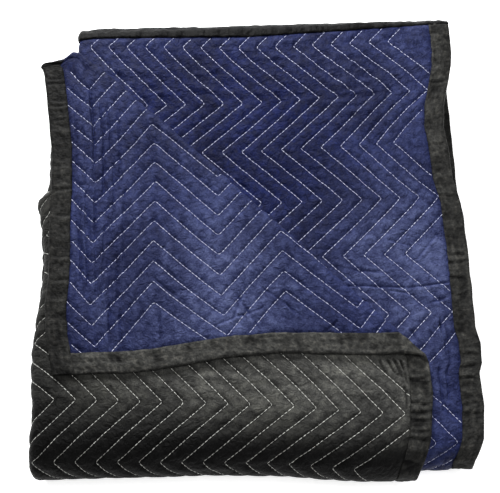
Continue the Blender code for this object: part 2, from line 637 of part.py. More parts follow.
def thick_mesh(points, triangles):
    """A flat triangulation doubled and closed at its rim. Returns the mesh, its points'
    flat places and which of them are on the raised face."""
    bm = bmesh.new()
    verts = [bm.verts.new((p.x, p.y, 0.0)) for p in points]
    for triangle in triangles:
        bm.faces.new([verts[k] for k in triangle])
    raised = set(bmesh.ops.extrude_face_region(bm, geom=bm.faces[:])["geom"])
    spots = np.array([(w.co.x, w.co.y) for w in bm.verts])
    return bm, spots, np.array([w in raised for w in bm.verts])


def make_quilted_cloth():
    """The quilted cloth, one closed solid: the flat pattern given its thickness."""
    bm, spots, raised = thick_mesh(*flat_pattern())
    u, v = spots.T
    cloth = new_object("quilted_cloth", bm, NAVY, 0.9)
    put_points(cloth.data, fold(u, v, np.where(raised, 1, -1) * half_thickness(u, v)))


def tape_pattern(stations, folds):
    """Points (s, t) and triangles of the flat tape, s along the edge and t across, with
    its middle on the cloth's edge. folds are the diagonal's lines as (s, e) points."""
    reach = TAPE_MIDDLE + TAPE_WIDTH - TAPE_THICK / 2
    across = [-reach, -TAPE_MIDDLE, TAPE_MIDDLE, reach]
    lines = [[(stations[0], t), (stations[-1], t)] for t in across]
    lines += [[(s, -reach), (s, reach)] for s in stations]
    wing = box_patch(stations[0], stations[-1], TAPE_MIDDLE, reach)
    for line in folds:
        for run in clipped([(s, e + TAPE_MIDDLE - TAPE_THICK / 2) for s, e in line], wing):
            lines += [run, [(s, -t) for s, t in run]]
    return triangulate(lines, [])


def make_binding(name, stations, place, folds=()):
    """Tape along one edge: cut flat, given its thickness, wrapped over the edge of the
    cloth and folded with it. place takes (s, distance from the edge) to (u, v)."""
    points, triangles = tape_pattern(stations, folds)
    bm, spots, raised = thick_mesh(points, triangles)
    s, t = spots.T
    side = np.where(raised, 1.0, -1.0)
    at_edge = np.abs(t) < TAPE_MIDDLE + 1e-6
    e = np.where(at_edge, TAPE_THICK * (1 - side) / 2, np.abs(t) - TAPE_MIDDLE + TAPE_THICK / 2)
    n = np.sign(t) * (TAPE_MIDDLE + side * TAPE_THICK / 2)
    u, v = place(s, e)
    tape = new_object(name, bm, BLACK_TAPE, 0.7)
    put_points(tape.data, fold(u, v, n))


for obj in list(bpy.data.objects):
    bpy.data.objects.remove(obj, do_unlink=True)
COLLECTION = bpy.data.collections.new("moving_blanket")
bpy.context.scene.collection.children.link(COLLECTION)

make_quilted_cloth()

make_binding("binding_back", STATIONS["back"], lambda s, e: (s, LENGTH - e),
             [[(u, LENGTH - v) for u, v in line] for line in DIAGONALS + DROOP_LINES])
make_binding("binding_front", STATIONS["front"], lambda s, e: (s, e))
make_binding("binding_second_ply", STATIONS["second_ply"], lambda s, e: (e, s))
make_binding("binding_top_ply", STATIONS["top_ply"], lambda s, e: (WIDTH - e, s),
             [[(v, WIDTH - u) for u, v in line] for line in DIAGONALS + TOP_ROWS])
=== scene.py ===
"""The looks of a quilted moving blanket, bound all round and folded in four both ways.

The blanket is worked out flat, u across and v along, and one function, fold(), takes every
flat point to its place in the bundle. The cloth, its stitching and its binding all go
through it, so they lie on one another. Metres, +Z up, the front roll towards -Y.
"""
import math

import bpy
import numpy as np
from mathutils import Matrix, Vector
from mathutils.geometry import delaunay_2d_cdt


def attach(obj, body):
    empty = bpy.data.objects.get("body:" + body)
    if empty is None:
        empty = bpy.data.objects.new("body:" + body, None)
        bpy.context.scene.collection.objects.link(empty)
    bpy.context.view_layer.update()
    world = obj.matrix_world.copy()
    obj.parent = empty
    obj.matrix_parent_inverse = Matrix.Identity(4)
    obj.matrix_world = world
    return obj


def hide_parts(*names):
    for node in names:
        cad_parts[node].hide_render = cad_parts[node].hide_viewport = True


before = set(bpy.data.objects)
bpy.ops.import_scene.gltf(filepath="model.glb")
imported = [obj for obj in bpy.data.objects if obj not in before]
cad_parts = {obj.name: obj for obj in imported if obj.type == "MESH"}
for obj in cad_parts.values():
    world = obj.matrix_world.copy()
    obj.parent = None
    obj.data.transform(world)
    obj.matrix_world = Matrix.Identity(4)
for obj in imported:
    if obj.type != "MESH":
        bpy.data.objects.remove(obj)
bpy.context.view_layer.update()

# ---- Quilted cloth ----------------------------------------------------------------------
# Thin padding between a navy and a black face of non-woven fabric, stitched through in
# zigzag lines by a row of needles. It is one piece, 1.8 by 2 m, folded in half and in half
# again across, then the same along, and its free corner is turned back on a diagonal.

PLY_PITCH = 0.005
SLAB_PITCH = 4 * PLY_PITCH
FREE_EDGE_X = 0.2430        # right edge of the second ply
INNER_FOLD_X = -0.1977      # left fold of the second ply, inside the outer fold
HIDDEN_FOLD_X = 0.2210      # right fold between the third and the fourth ply
OUTER_FOLD_X = -0.2290      # left fold that carries the top ply
TOP_EDGE_X = 0.1980         # right edge of the top ply
BURIED_EDGE_Y = 0.2120      # back edges of the second slab
INNER_BEND_Y = -0.2230      # front fold of the two middle slabs
BACK_BEND_Y = 0.2270        # back fold of the two lower slabs
ROLL_Y = -0.2275            # centre of the big roll in front
BACK_EDGE_Y = 0.2810        # back edges of the top slab
MIDDLE_Z = 0.0396           # half way between the second and the third slab
DROOP_FROM_Y = 0.2500       # the back edges tip down from here
DRAWN_IN = 0.050            # how much further in the ply under the top one ends,
DRAWN_IN_OVER = 0.12        # from nothing at its right-hand fold to all of it in this
LEFT_REACH = 0.0095         # how much further back the upper plies reach at the left,
LEFT_REACH_OVER = 0.2       # from nothing in the middle to all of it in this
DROOP_RADIUS = 0.012
DROOP_ANGLE = math.radians(46)   # in the middle; more to the right, less to the left
DROOP_TWIST = math.radians(44)   # how much more, over a metre
TOP_PLY_LOOSE = 0.0056      # how far the top ply stands off the front roll, at the right
SLIP_BEFORE, SLIP_OVER = 0.45, 0.30  # where the upper plies begin to slip, and over what
SECOND_LOOSE = 0.15         # how far in from its edge the second ply strays with it
HALF_WIDE, HALF_DEEP = 0.24, 0.26   # half the bundle, roughly,
NEAR_TOP = 0.08             # and its height
WAVE = 0.0012               # how much the top rolls
SAG = 0.0030                # how far the top drops at the sides, and again at the ends
LEAN = 0.0050               # how far the lowest plies lean out to the left
SWAY = 0.0020               # how far the plies stray in and out, up the stack
FRONT_BACK = 0.0057         # how far back the front roll is pressed, but at its right end
BACK_OUT = 0.0030           # how far back the back edges stand
LEFT_IN = 0.0038            # how far in the left folds are pressed,
LEFT_IN_Y, LEFT_IN_HALF = -0.035, 0.045  # where, and over how much to either side
LOW_FOLDS_IN = 0.0070       # how far in the lower slabs' left folds lie, behind
LOWEST = 0.0001             # the underside's least height, just off the floor
CENTRE_X, CENTRE_Y = 0.0018, -0.0003
DIAGONAL_SUM = 0.0255       # x + y along the axis of the diagonal fold
DIAGONAL_RADIUS = 0.0036
FLAP_SETTLES = 0.0016       # how far the flap sinks on to the ply below it,
FLAP_SETTLES_OVER = 0.05    # from nothing at the diagonal fold to all of it in this
TUCK = 0.0470               # how far the back end of the outer fold is drawn forward,
TUCK_FULL_X = -0.2400       # from nothing at the next two lines to all of it here
TUCK_FROM_X = -0.1820       # on the top ply
TUCK_FROM_X_BELOW = -0.2040  # on the ply that it turns into
TUCK_TURNED = (0.122, 0.135)    # y where it begins, and over how much, on the flap
TUCK_UNTURNED = (-0.028, 0.285)  # and on the rest
CORNER_REACH = 0.02         # how far from the diagonal the outer fold is straight
HUMP_FROM_Y = 0.1850        # the folded corner's back end stands out from here

# How far an edge or a fold stands off its place, as rows of (x or y, how far) in mm; then
# how much shorter the second ply is, and how far the folded corner stands out
TOP_EDGE_OFF = [
    (-280, -31), (-236, -25), (-203, -16), (-156, -11), (-125, -13), (-99, -18), (38, -20),
    (91, -17), (155, -7), (189, -3), (262, -3)]
BACK_EDGE_OFF = [
    (-232, -36), (-212, -5), (-196, -2), (-181, -1.5), (-166, -6), (-147, -9), (-118, -13),
    (-71, -19), (-15, -21), (47, -18), (117, -18), (153, -22), (180, -27), (205, -33)]
FRONT_SLIP = [(-232, 0), (-209, 0), (156, -26), (200, -29)]
SECOND_EDGE_OFF = [
    (-262, -12), (-235, -4.5), (-199, -1.5), (-178, -2.2), (-163, -2.5), (-152, 1.2), (-130, 1.2),
    (-112, -2.2), (-26, -2.3), (29, -4.2), (60, -11), (100, -12.5), (125, -15.5), (151, -13),
    (185, -4), (205, 1), (222, 3)]
OUTER_FOLD_OFF = [
    (-228, 0), (-206, 1.6), (-150, -2), (-133, -2), (-79, 2), (-28, 4), (2, 2), (25, 0), (37, -3),
    (46, -3), (56, 6), (66, 9), (90, 9), (150, 10), (192, 2)]
SECOND_SHORT = [(-190, 15), (0, 12), (110, 8), (219, 3)]
HUMP = [(-221, 0), (-213, 8), (-206, 12), (-200, 11), (-193, 5), (-187, 1), (-180, 0)]

# Flat runs (turn 0) and bends of each folding: length, turn and radius
ACROSS = [(FREE_EDGE_X - INNER_FOLD_X, 0, 0),
          (math.pi * 0.5 * PLY_PITCH, 1, 0.5 * PLY_PITCH),
          (HIDDEN_FOLD_X - INNER_FOLD_X, 0, 0),
          (math.pi * 0.5 * PLY_PITCH, -1, 0.5 * PLY_PITCH),
          (HIDDEN_FOLD_X - OUTER_FOLD_X, 0, 0),
          (math.pi * 1.5 * PLY_PITCH, -1, 1.5 * PLY_PITCH),
          (TOP_EDGE_X - OUTER_FOLD_X, 0, 0)]
OUTERMOST = 1.5 * PLY_PITCH     # a bend along is as long as the top ply makes it
ALONG = [(BURIED_EDGE_Y - INNER_BEND_Y, 0, 0),
         (math.pi * (0.5 * SLAB_PITCH - OUTERMOST), 1, 0.5 * SLAB_PITCH),
         (BACK_BEND_Y - INNER_BEND_Y, 0, 0),
         (math.pi * (0.5 * SLAB_PITCH + OUTERMOST), -1, 0.5 * SLAB_PITCH),
         (BACK_BEND_Y - ROLL_Y, 0, 0),
         (math.pi * (1.5 * SLAB_PITCH + OUTERMOST), -1, 1.5 * SLAB_PITCH),
         (BACK_EDGE_Y - ROLL_Y, 0, 0)]
WIDTH, LENGTH = sum(leg[0] for leg in ACROSS), sum(leg[0] for leg in ALONG)


def leg_start(legs, index):
    """Flat distance at which a run or a bend begins."""
    return sum(leg[0] for leg in legs[:index])


THIRD_PLY_U, OUTER_FOLD_U, TOP_PLY_U = (leg_start(ACROSS, k) for k in (4, 5, 6))
BACK_BEND_V, UNDERSIDE_V, ROLL_V, TOP_SLAB_V = (leg_start(ALONG, k) for k in (3, 4, 5, 6))


def ease(t):
    """Smooth step from 0 to 1: 3 t^2 - 2 t^3."""
    t = np.clip(t, 0.0, 1.0)
    return t * t * (3.0 - 2.0 * t)


def part_way(t, start, end):
    """How far t has come from a start to an end, from 0 to 1."""
    return np.clip((t - start) / (end - start), 0.0, 1.0)


def from_table(at, rows):
    """A value read between the rows (at, value) of a short table, both in millimetres."""
    keys, values = zip(*rows)
    return np.interp(np.asarray(at) * 1000, keys, values) / 1000


def walk(legs, start, s):
    """Point and left-hand normal after a distance s along the legs, from a start that heads
    towards minus the first axis: straight on a run, round a half circle on a bend."""
    px, py = start
    heading = math.pi
    x, y, nx, ny = (np.zeros_like(s) for _ in range(4))
    done = 0.0
    for index, (length, turn, radius) in enumerate(legs):
        here = (s >= done) | (index == 0)
        if index < len(legs) - 1:
            here &= s < done + length
        t = s[here] - done
        if turn:
            arm = turn * radius
            angle = heading + turn * math.pi * t / length
            cx, cy = px - arm * math.sin(heading), py + arm * math.cos(heading)
            x[here], y[here] = cx + arm * np.sin(angle), cy - arm * np.cos(angle)
            heading += turn * math.pi
            px, py = cx + arm * math.sin(heading), cy - arm * math.cos(heading)
        else:
            angle = np.full_like(t, heading)
            x[here] = px + t * math.cos(heading)
            y[here] = py + t * math.sin(heading)
            px += length * math.cos(heading)
            py += length * math.sin(heading)
        nx[here], ny[here] = -np.sin(angle), np.cos(angle)
        done += length
    return x, y, nx, ny


def ply_slip(u, v):
    """Slip (dx, dv) of a ply on its slab: the top ply slips both ways, the ply that it turns
    into is drawn in from the back, the upper two reach further back at the left, and the
    second is short."""
    x = walk(ACROSS, (FREE_EDGE_X, 0.0), u)[0]
    y = BACK_EDGE_Y + v - LENGTH
    forward = ease(part_way(y, BACK_EDGE_Y, ROLL_Y))
    under = ease((v - TOP_SLAB_V + SLIP_BEFORE) / SLIP_OVER)
    dx = part_way(u, TOP_PLY_U, WIDTH) * under * from_table(y, TOP_EDGE_OFF)
    top_x = np.where(u > TOP_PLY_U, x, OUTER_FOLD_X)
    top_dv = ((1 - forward) * from_table(top_x, BACK_EDGE_OFF)
              + forward * from_table(top_x, FRONT_SLIP))
    drawn = np.clip((HIDDEN_FOLD_X - x) / DRAWN_IN_OVER, 0.0, 1.0) * (u > THIRD_PLY_U)
    turned = part_way(u, OUTER_FOLD_U, TOP_PLY_U)
    upper = np.clip(-x / LEFT_REACH_OVER, 0.0, 1.0) * (u < THIRD_PLY_U) * under
    drawn_back = (1 - turned) * drawn * DRAWN_IN - upper * LEFT_REACH
    short = from_table(x, SECOND_SHORT) * ease((v - TOP_SLAB_V + 0.02) / 0.12)
    short = short * (u < THIRD_PLY_U)
    return dx, turned * under * top_dv - drawn_back * (1 - forward) - short


def turn_corner(x, y, rise):
    """Fold what lies beyond the diagonal up and over, round a half circle. rise is the
    height above the top ply's middle. Returns x, y, the new rise, the distance beyond the
    axis, and the place (x, y) that the tuck goes by."""
    beyond = (x + y - DIAGONAL_SUM) / math.sqrt(2)
    r = DIAGONAL_RADIUS
    phi = np.clip(beyond / r, 0.0, math.pi)
    over = beyond - math.pi * r
    sink = FLAP_SETTLES * ease(over / FLAP_SETTLES_OVER)
    along = np.where(beyond <= 0, beyond, np.where(over >= 0, -over, (r - rise) * np.sin(phi)))
    new_rise = np.where(beyond <= 0, rise,
                        np.where(over >= 0, 2 * r - rise - sink, r - (r - rise) * np.cos(phi)))
    shift = (along - beyond) / math.sqrt(2)
    before = np.minimum(beyond, 0.0) / math.sqrt(2)
    after = np.maximum(over, 0.0) / math.sqrt(2)
    tuck_x = (DIAGONAL_SUM + x - y) / 2 + before + after
    tuck_y = (DIAGONAL_SUM - x + y) / 2 + before - after
    return x + shift, y + shift, new_rise, beyond, tuck_x, tuck_y


def settle(x, y, z, low):
    """The uneven bundle, as small moves added to a place: the top rolls and drops to the
    sides, the lowest plies lean out to the left, the lower slabs (low) lie in again behind,
    the front roll and the left folds are pressed in, the back edges stand out, and every
    ply strays a little. The underside stays on the floor."""
    up = z / NEAR_TOP
    wave = WAVE * np.sin(7.0 * x + 0.6) * np.cos(6.0 * y - 0.4)
    sides = SAG * (x / HALF_WIDE) ** 2 + SAG * (y / HALF_DEEP) ** 2
    lean = LEAN * (1 - np.clip(up, 0, 1)) * np.clip(-x / HALF_WIDE, 0, 1)
    lean -= LOW_FOLDS_IN * low * ease((y - 0.045) / 0.025) * ease((-x - 0.14) / 0.09)
    sway = SWAY * np.sin(75.0 * z + 0.8)
    back = FRONT_BACK * (1 - ease((x - 0.01) / 0.12)) * ease((-0.05 - y) / 0.18)
    back += BACK_OUT * ease((y - 0.21) / 0.05) * ease((x + 0.205) / 0.03)
    lean -= LEFT_IN * np.exp(-((y - LEFT_IN_Y) / LEFT_IN_HALF) ** 2) * ease((-x - 0.15) / 0.06)
    z = np.maximum(z + up * (wave - sides), LOWEST)
    return x - lean + sway - CENTRE_X, y + 0.7 * sway + back - CENTRE_Y, z


def fold(u, v, n):
    """Where the flat point (u, v) goes, n off the middle of the cloth towards its black
    face: walked across, then along, then over the droop, the diagonal and the tuck, and
    settled."""
    u, v, n = (a.astype(float) for a in np.broadcast_arrays(u, v, n))
    x, level, ax, az = walk(ACROSS, (FREE_EDGE_X, 0.5 * PLY_PITCH), u)
    dx, dv = ply_slip(u, v)
    second = (1 - ease(u / SECOND_LOOSE)) * ease((v - ROLL_V + 0.05) / 0.12)
    dx = dx + second * from_table(BACK_EDGE_Y + v - LENGTH, SECOND_EDGE_OFF)
    v = v + dv
    round_roll = part_way(v, ROLL_V, TOP_SLAB_V)
    loose = TOP_PLY_LOOSE * ease((x + 0.05) / 0.20) * np.sin(math.pi * round_roll) ** 2
    x = x + dx + n * ax
    level = level + loose * (u > TOP_PLY_U) + n * az

    y, z, by, bz = walk(ALONG, (BURIED_EDGE_Y, MIDDLE_Z + 0.5 * SLAB_PITCH), v)
    straight_y, straight_z = y + level * by, z + level * bz
    tip = np.where(v > TOP_SLAB_V, y - DROOP_FROM_Y, -1.0)
    most = DROOP_ANGLE + DROOP_TWIST * x
    angle = np.clip(tip / DROOP_RADIUS, 0.0, most)
    rest = np.maximum(tip - DROOP_RADIUS * most, 0.0)
    droop_y = DROOP_FROM_Y + (DROOP_RADIUS + level) * np.sin(angle) + rest * np.cos(angle)
    droop_z = z - DROOP_RADIUS + (DROOP_RADIUS + level) * np.cos(angle) - rest * np.sin(angle)
    droops = (tip > 0) & (u < OUTER_FOLD_U)
    y, z = np.where(droops, droop_y, straight_y), np.where(droops, droop_z, straight_z)

    top = (u > TOP_PLY_U) & (v > TOP_SLAB_V)
    ply_z = MIDDLE_Z + 1.5 * SLAB_PITCH + 1.5 * PLY_PITCH
    tx, ty, rise, beyond, at_x, at_y = turn_corner(x, y, z - ply_z)
    at_x, at_y = np.where(top, at_x, x), np.where(top, at_y, y)
    x, y, z = np.where(top, tx, x), np.where(top, ty, y), np.where(top, ply_z + rise, z)
    beyond = np.where(top, beyond, -1.0)

    outer = (u > THIRD_PLY_U) & (v > TOP_SLAB_V)
    turned = part_way(u, OUTER_FOLD_U, TOP_PLY_U)
    tuck_x = TUCK_FROM_X_BELOW + (TUCK_FROM_X - TUCK_FROM_X_BELOW) * turned
    near = part_way(at_x, tuck_x, TUCK_FULL_X)
    on_flap, off_flap = (ease((at_y - begin) / over)
                         for begin, over in (TUCK_TURNED, TUCK_UNTURNED))
    back = on_flap + (off_flap - on_flap) * ease(-beyond / CORNER_REACH)
    y = y - np.where(outer, TUCK * near * back, 0.0)
    y = y + np.where(outer, from_table(x, HUMP) * ease((y - HUMP_FROM_Y) / 0.03), 0.0)
    bulge = from_table(y, OUTER_FOLD_OFF) * (1 - ease((x + 0.225) / 0.08))
    x = x + np.where(outer, bulge * ease(-beyond / CORNER_REACH), 0.0)
    return settle(x, y, z, v < ROLL_V)


# The zigzag lines, as a machine with a row of needles makes them. A row is where all the
# lines turn; the cloth is not cut or fed quite evenly, so rows and lines drift a little.
ZIGZAG_DEPTH = 3.05         # in needle pitches
ZIGZAG_ROW = 0.0666         # from a row of points to the next, in the hidden plies
FIRST_ROW, MEAN_ROW = 0.050, 0.067  # a first guess at the rows: start and spacing
POINT_ROUND = (0.012, 0.055)  # how round the zigzag's points are, in rows, least and most
# Where the rows lie on the second and on the top ply, back from the back edge, in mm, and
# how many mm they climb over a metre of width: (row, second, climb, top, climb)
ROWS = [
    (0, 39, -19, 51, 0), (1, 110, 8, 120, 0), (2, 173, -2, 192, 0), (3, 238, -27, 261, 0),
    (4, 304, -27, 334, 0), (5, 372, -27, 397, -8), (6, 444, -19, 465, -17), (7, 520, 0, 526, -40)]
SECOND_MIDDLE_U, TOP_MIDDLE_U = 0.19, 1.56  # where across each ply those places are measured
PLIES_APART_U, PLIES_APART_OVER = 0.45, 0.85  # one ply's rows become the other's over this
# Where a needle row starts on the second ply, its pitch there, and the top ply's shift, in
# mm: (row, start, pitch, shift)
NEEDLES = [
    (0, 7.4, 22.3, -4.9), (1, 1.9, 22.45, -2.3), (2, -0.5, 22.9, 0.7), (3, 1.7, 22.9, 0.8),
    (4, 1.7, 23.3, -3.0), (5, 1.6, 23.5, -2.5), (6, 3.0, 23.6, -3.5), (7, 4.5, 23.7, -0.5)]
TOP_NEEDLE, TOP_NEEDLE_U, TOP_PITCH = 60, 1.3437, 0.0239
FIRST_LINE, LAST_LINE = 3, 78  # the cloth's side edges are left plain beyond these
SECOND_TO, TOP_FROM = 22, 58  # needles that the second ply ends at and the top ply starts at


def grain(x, y, seed):
    """A smooth random field from -1 to 1: random values on a unit grid that repeats after
    97 by 89, eased between."""
    table = np.random.default_rng(seed).uniform(-1, 1, (97, 89))
    i, j = np.floor(x).astype(int), np.floor(y).astype(int)
    s, t = ease(x - i), ease(y - j)
    i, j, i1, j1 = i % 97, j % 89, (i + 1) % 97, (j + 1) % 89
    near = table[i, j] * (1 - s) + table[i1, j] * s
    far = table[i, j1] * (1 - s) + table[i1, j1] * s
    return near * (1 - t) + far * t


def swing(line, row):
    """The zigzag's swing, 0 at even rows and 1 at odd ones: a triangle wave whose points
    are rounded by a parabola, more or less so from place to place."""
    away = np.abs((row + 1) % 2 - 1)
    low, high = POINT_ROUND
    soft = low + (high - low) * (0.5 + 0.5 * grain(line * 0.73 + 5, np.round(row) + 0.5, 3)) ** 2
    start = np.where(away < soft, (away ** 2 + soft ** 2) / (2 * soft), away)
    end = 1 - away
    return np.where(end < soft, 1 - (end ** 2 + soft ** 2) / (2 * soft), start)


def needle_marks(row):
    """Where the needles run at a row: the second ply's start and pitch, the top ply's known
    needle, and the places of the second ply's last and the top ply's first needle."""
    rows, start, pitch, shift = (np.array(c) for c in zip(*NEEDLES))
    start, pitch = (np.interp(row, rows, c) / 1000 for c in (start, pitch))
    top = TOP_NEEDLE_U + np.interp(row, rows, shift) / 1000
    return start, pitch, top, start + pitch * SECOND_TO, top + TOP_PITCH * (TOP_FROM - TOP_NEEDLE)


def needle_u(needle, row):
    """u of a needle at a row: evenly spaced on the second ply and on the top ply, each with
    a start and a pitch of its own, and evenly again between the two."""
    start, pitch, top, second_end, top_start = needle_marks(row)
    share = (needle - SECOND_TO) / (TOP_FROM - SECOND_TO)
    between = second_end + (top_start - second_end) * share
    u = np.where(share < 0, start + pitch * needle, between)
    return np.where(share > 1, top + TOP_PITCH * (needle - TOP_NEEDLE), u)


def u_needle(u, row):
    """The needle that runs at u: needle_u() the other way round."""
    start, pitch, top, second_end, top_start = needle_marks(row)
    share = (u - second_end) / (top_start - second_end)
    needle = np.where(share < 0, (u - start) / pitch, SECOND_TO + share * (TOP_FROM - SECOND_TO))
    return np.where(share > 1, TOP_NEEDLE + (u - top) / TOP_PITCH, needle)


def row_v(row, u):
    """v of a row: read from the tables near the back edge, evenly spaced beyond them."""
    rows, second, second_climb, top, top_climb = (np.array(c) for c in zip(*ROWS))
    beyond = np.maximum(row - rows[-1], 0) * ZIGZAG_ROW + np.minimum(row, 0) * ZIGZAG_ROW
    second, second_climb, top, top_climb = (
        np.interp(row, rows, c) for c in (second, second_climb, top, top_climb))
    on_second = (second + second_climb * (u - SECOND_MIDDLE_U)) / 1000
    on_top = (top + top_climb * (u - TOP_MIDDLE_U)) / 1000
    share = np.clip((u - PLIES_APART_U) / PLIES_APART_OVER, 0, 1)
    return LENGTH - on_second - (on_top - on_second) * share - beyond


def v_row(v, u):
    """The row that runs at v: row_v() the other way round, by five corrections of a guess."""
    row = (LENGTH - FIRST_ROW - v) / MEAN_ROW
    for _ in range(5):
        row = row + (row_v(row, u) - v) / MEAN_ROW
    return row


def on_lattice(line, row):
    """Flat place (u, v) of a point on stitch line `line`, or between two, at row `row`."""
    u = needle_u(line - ZIGZAG_DEPTH * swing(line, row), row)
    return u, row_v(row, u)


def to_lattice(u, v):
    """The stitch line and row of a flat place, found by three corrections of a guess."""
    row = v_row(v, u)
    base = u_needle(u, row)
    line = base + ZIGZAG_DEPTH * swing(base, row)
    for _ in range(3):
        line = base + ZIGZAG_DEPTH * swing(line, row)
    return line, row


CREST_HALF = 0.0021         # half thickness between two stitch lines, with nothing on it
STITCH_HALF = 0.0012        # and on a stitch line
FLOOR_CREST_HALF = 0.0020   # the same crest on the underside, flat on the floor
PLAIN_HALF = 0.0018         # inside the bundle
RIM_HALF = 0.0007           # pressed flat inside the binding
TAPE_WIDTH = 0.024
RIM_FLAT = TAPE_WIDTH - 0.0006   # pressed flat out from here
RIM_FULL = TAPE_WIDTH + 0.0060   # and in full from here
BODY_INSET = 0.0021         # how far inside the binding's edge the cloth ends
PUCKER, PUCKER_BLACK = 0.0017, 0.0004   # how high the puckers are on the two faces
GATHER = 0.00048            # how far each stitch draws the cloth in
BROAD = 0.0005              # the slow waves of the padding

TOP_DIAGONAL = DIAGONAL_SUM - OUTER_FOLD_X + TOP_PLY_U + LENGTH - BACK_EDGE_Y
SECOND_DIAGONAL = DIAGONAL_SUM - FREE_EDGE_X + LENGTH - BACK_EDGE_Y
# Where each face shows, as convex patches: rows (a, b, c) keep the side where a u + b v > c
SHOWS = {
    "blue": [[(1, 1, TOP_DIAGONAL - 0.004), (1, 0, TOP_PLY_U)],
             [(-1, 0, -0.095), (0, 1, ROLL_V + 0.025), (0, -1, -TOP_SLAB_V - 0.16)],
             [(-1, 1, SECOND_DIAGONAL - 0.035), (0, 1, TOP_SLAB_V + 0.10), (-1, 0, -0.437)]],
    "black": [[(1, 0, OUTER_FOLD_U - 0.006), (0, 1, ROLL_V - 0.004),
               (0, -1, -TOP_SLAB_V - 0.105)],
              [(1, 0, OUTER_FOLD_U - 0.006), (-1, 0, -TOP_PLY_U - 0.006)]],
    "underside": [[(1, 0, TOP_PLY_U + 0.006), (0, 1, BACK_BEND_V - 0.01),
                   (0, -1, -ROLL_V - 0.004)]],
}


SHOWN = {1: SHOWS["black"] + SHOWS["underside"], -1: SHOWS["blue"]}  # by side: 1 is black
FADES_OVER = {1: 0.004, -1: 0.010}  # the quilting rises over this, in from a patch's edge


def from_edge(u, v):
    """How far a flat place is from the cloth's nearest edge."""
    return np.minimum.reduce([u, WIDTH - u, v, LENGTH - v])


def within(patches, u, v):
    """How far inside the nearest of some convex patches a flat place lies."""
    depth = np.full(np.shape(u), -1.0)
    for patch in patches:
        inside = np.full(np.shape(u), 1.0)
        for a, b, c in patch:
            inside = np.minimum(inside, (a * u + b * v - c) / math.hypot(a, b))
        depth = np.maximum(depth, inside)
    return depth


# Creases by side, as lines on the flat cloth from (u, v) to (u, v), in mm, and their depths
CREASES = {-1: [
    (146, 1690, 70, 1682, 1.9), (75, 1682, 4, 1686, 1.9), (148, 1676, 112, 1669, 1.5),
    (150, 1700, 128, 1680, 1.5), (103, 1684, 60, 1672, 1.2), (142, 1709, 96, 1700, 1.2),
    (39, 1650, 38, 1598, 2.0), (34, 1640, 38, 1550, 1.6), (46, 1600, 44, 1540, 1.3),
    (54, 1662, 24, 1670, 1.5), (78, 1641, 62, 1616, 1.6), (60, 1712, 30, 1745, 1.3),
    (44, 1760, 22, 1722, 1.2), (96, 1740, 60, 1728, 1.1), (1430, 1976, 1560, 1979, 1.7),
    (1560, 1978, 1690, 1972, 1.6), (1449, 1958, 1516, 1960, 1.5), (1692, 1957, 1749, 1961, 1.7),
    (1526, 1957, 1600, 1955, 1.4), (1600, 1964, 1700, 1966, 1.3), (1704, 1946, 1749, 1949, 1.5),
    (1706, 1903, 1748, 1907, 1.4), (1460, 1997, 1540, 2000, 1.4), (1560, 1989, 1624, 1981, 1.5),
    (1640, 1950, 1700, 1948, 1.1), (1700, 1822, 1748, 1800, 1.3), (1738, 1850, 1720, 1790, 1.1),
    (1690, 1800, 1735, 1752, 1.2), (1442, 1977, 1532, 1980, 1.8), (1449, 1966, 1570, 1969, 1.9),
    (1464, 1947, 1548, 1950, 1.4), (1575, 1987, 1680, 1983, 1.5), (1480, 1990, 1560, 1988, 1.3),
    (1600, 1995, 1680, 1990, 1.2), (1560, 1944, 1650, 1942, 1.2), (1668, 1912, 1700, 1880, 1.2),
    (1738, 1831, 1700, 1812, 1.3), (1713, 1770, 1738, 1757, 1.5), (1735, 1714, 1752, 1735, 1.4)
], 1: [
    (1740, 1637, 1751, 1594, 3.6), (1732, 1636, 1746, 1600, 3.2), (1724, 1636, 1738, 1604, 2.6),
    (1714, 1636, 1730, 1602, 1.8), (1744, 1600, 1750, 1566, 2.2)]}


def line_way(at_u, at_v, to_u, to_v):
    """A line's direction (du, dv) and its length."""
    length = math.hypot(to_u - at_u, to_v - at_v)
    return (to_u - at_u) / length, (to_v - at_v) / length, length


def beside_line(u, v, at_u, at_v, to_u, to_v):
    """How far along a line a place lies, how far off to its left, and the line's length."""
    du, dv, length = line_way(at_u, at_v, to_u, to_v)
    return (u - at_u) * du + (v - at_v) * dv, (v - at_v) * du - (u - at_u) * dv, length


def dent(off, ridge, ridge_at):
    """Height of a dent, off to the left of its line in mm, with a lower ridge beside it."""
    return ridge * np.exp(-((off - ridge_at) / 2.0) ** 2) - np.exp(-(off / 1.5) ** 2)


def crease(u, v, at_u, at_v, to_u, to_v, deep):
    """A crease along a line, all in mm: a slightly crooked dent that fades at its ends."""
    along, off, length = beside_line(u, v, at_u, at_v, to_u, to_v)
    off = off + 0.9 * grain(along / 14 + at_u, 0 * along + 0.5, 41)
    return deep / 1000 * ease(along / 9) * ease((length - along) / 9) * dent(off, 0.7, 2.6)


def near_crease(u, v, side):
    """How far a flat place is from the nearest crease of its face, in mm."""
    nearest = np.full(np.shape(u), 1000.0)
    for *ends, _ in CREASES[side]:
        along, off, length = beside_line(u * 1000, v * 1000, *ends)
        nearest = np.minimum(nearest, np.hypot(off, along - np.clip(along, 0, length)))
    return nearest


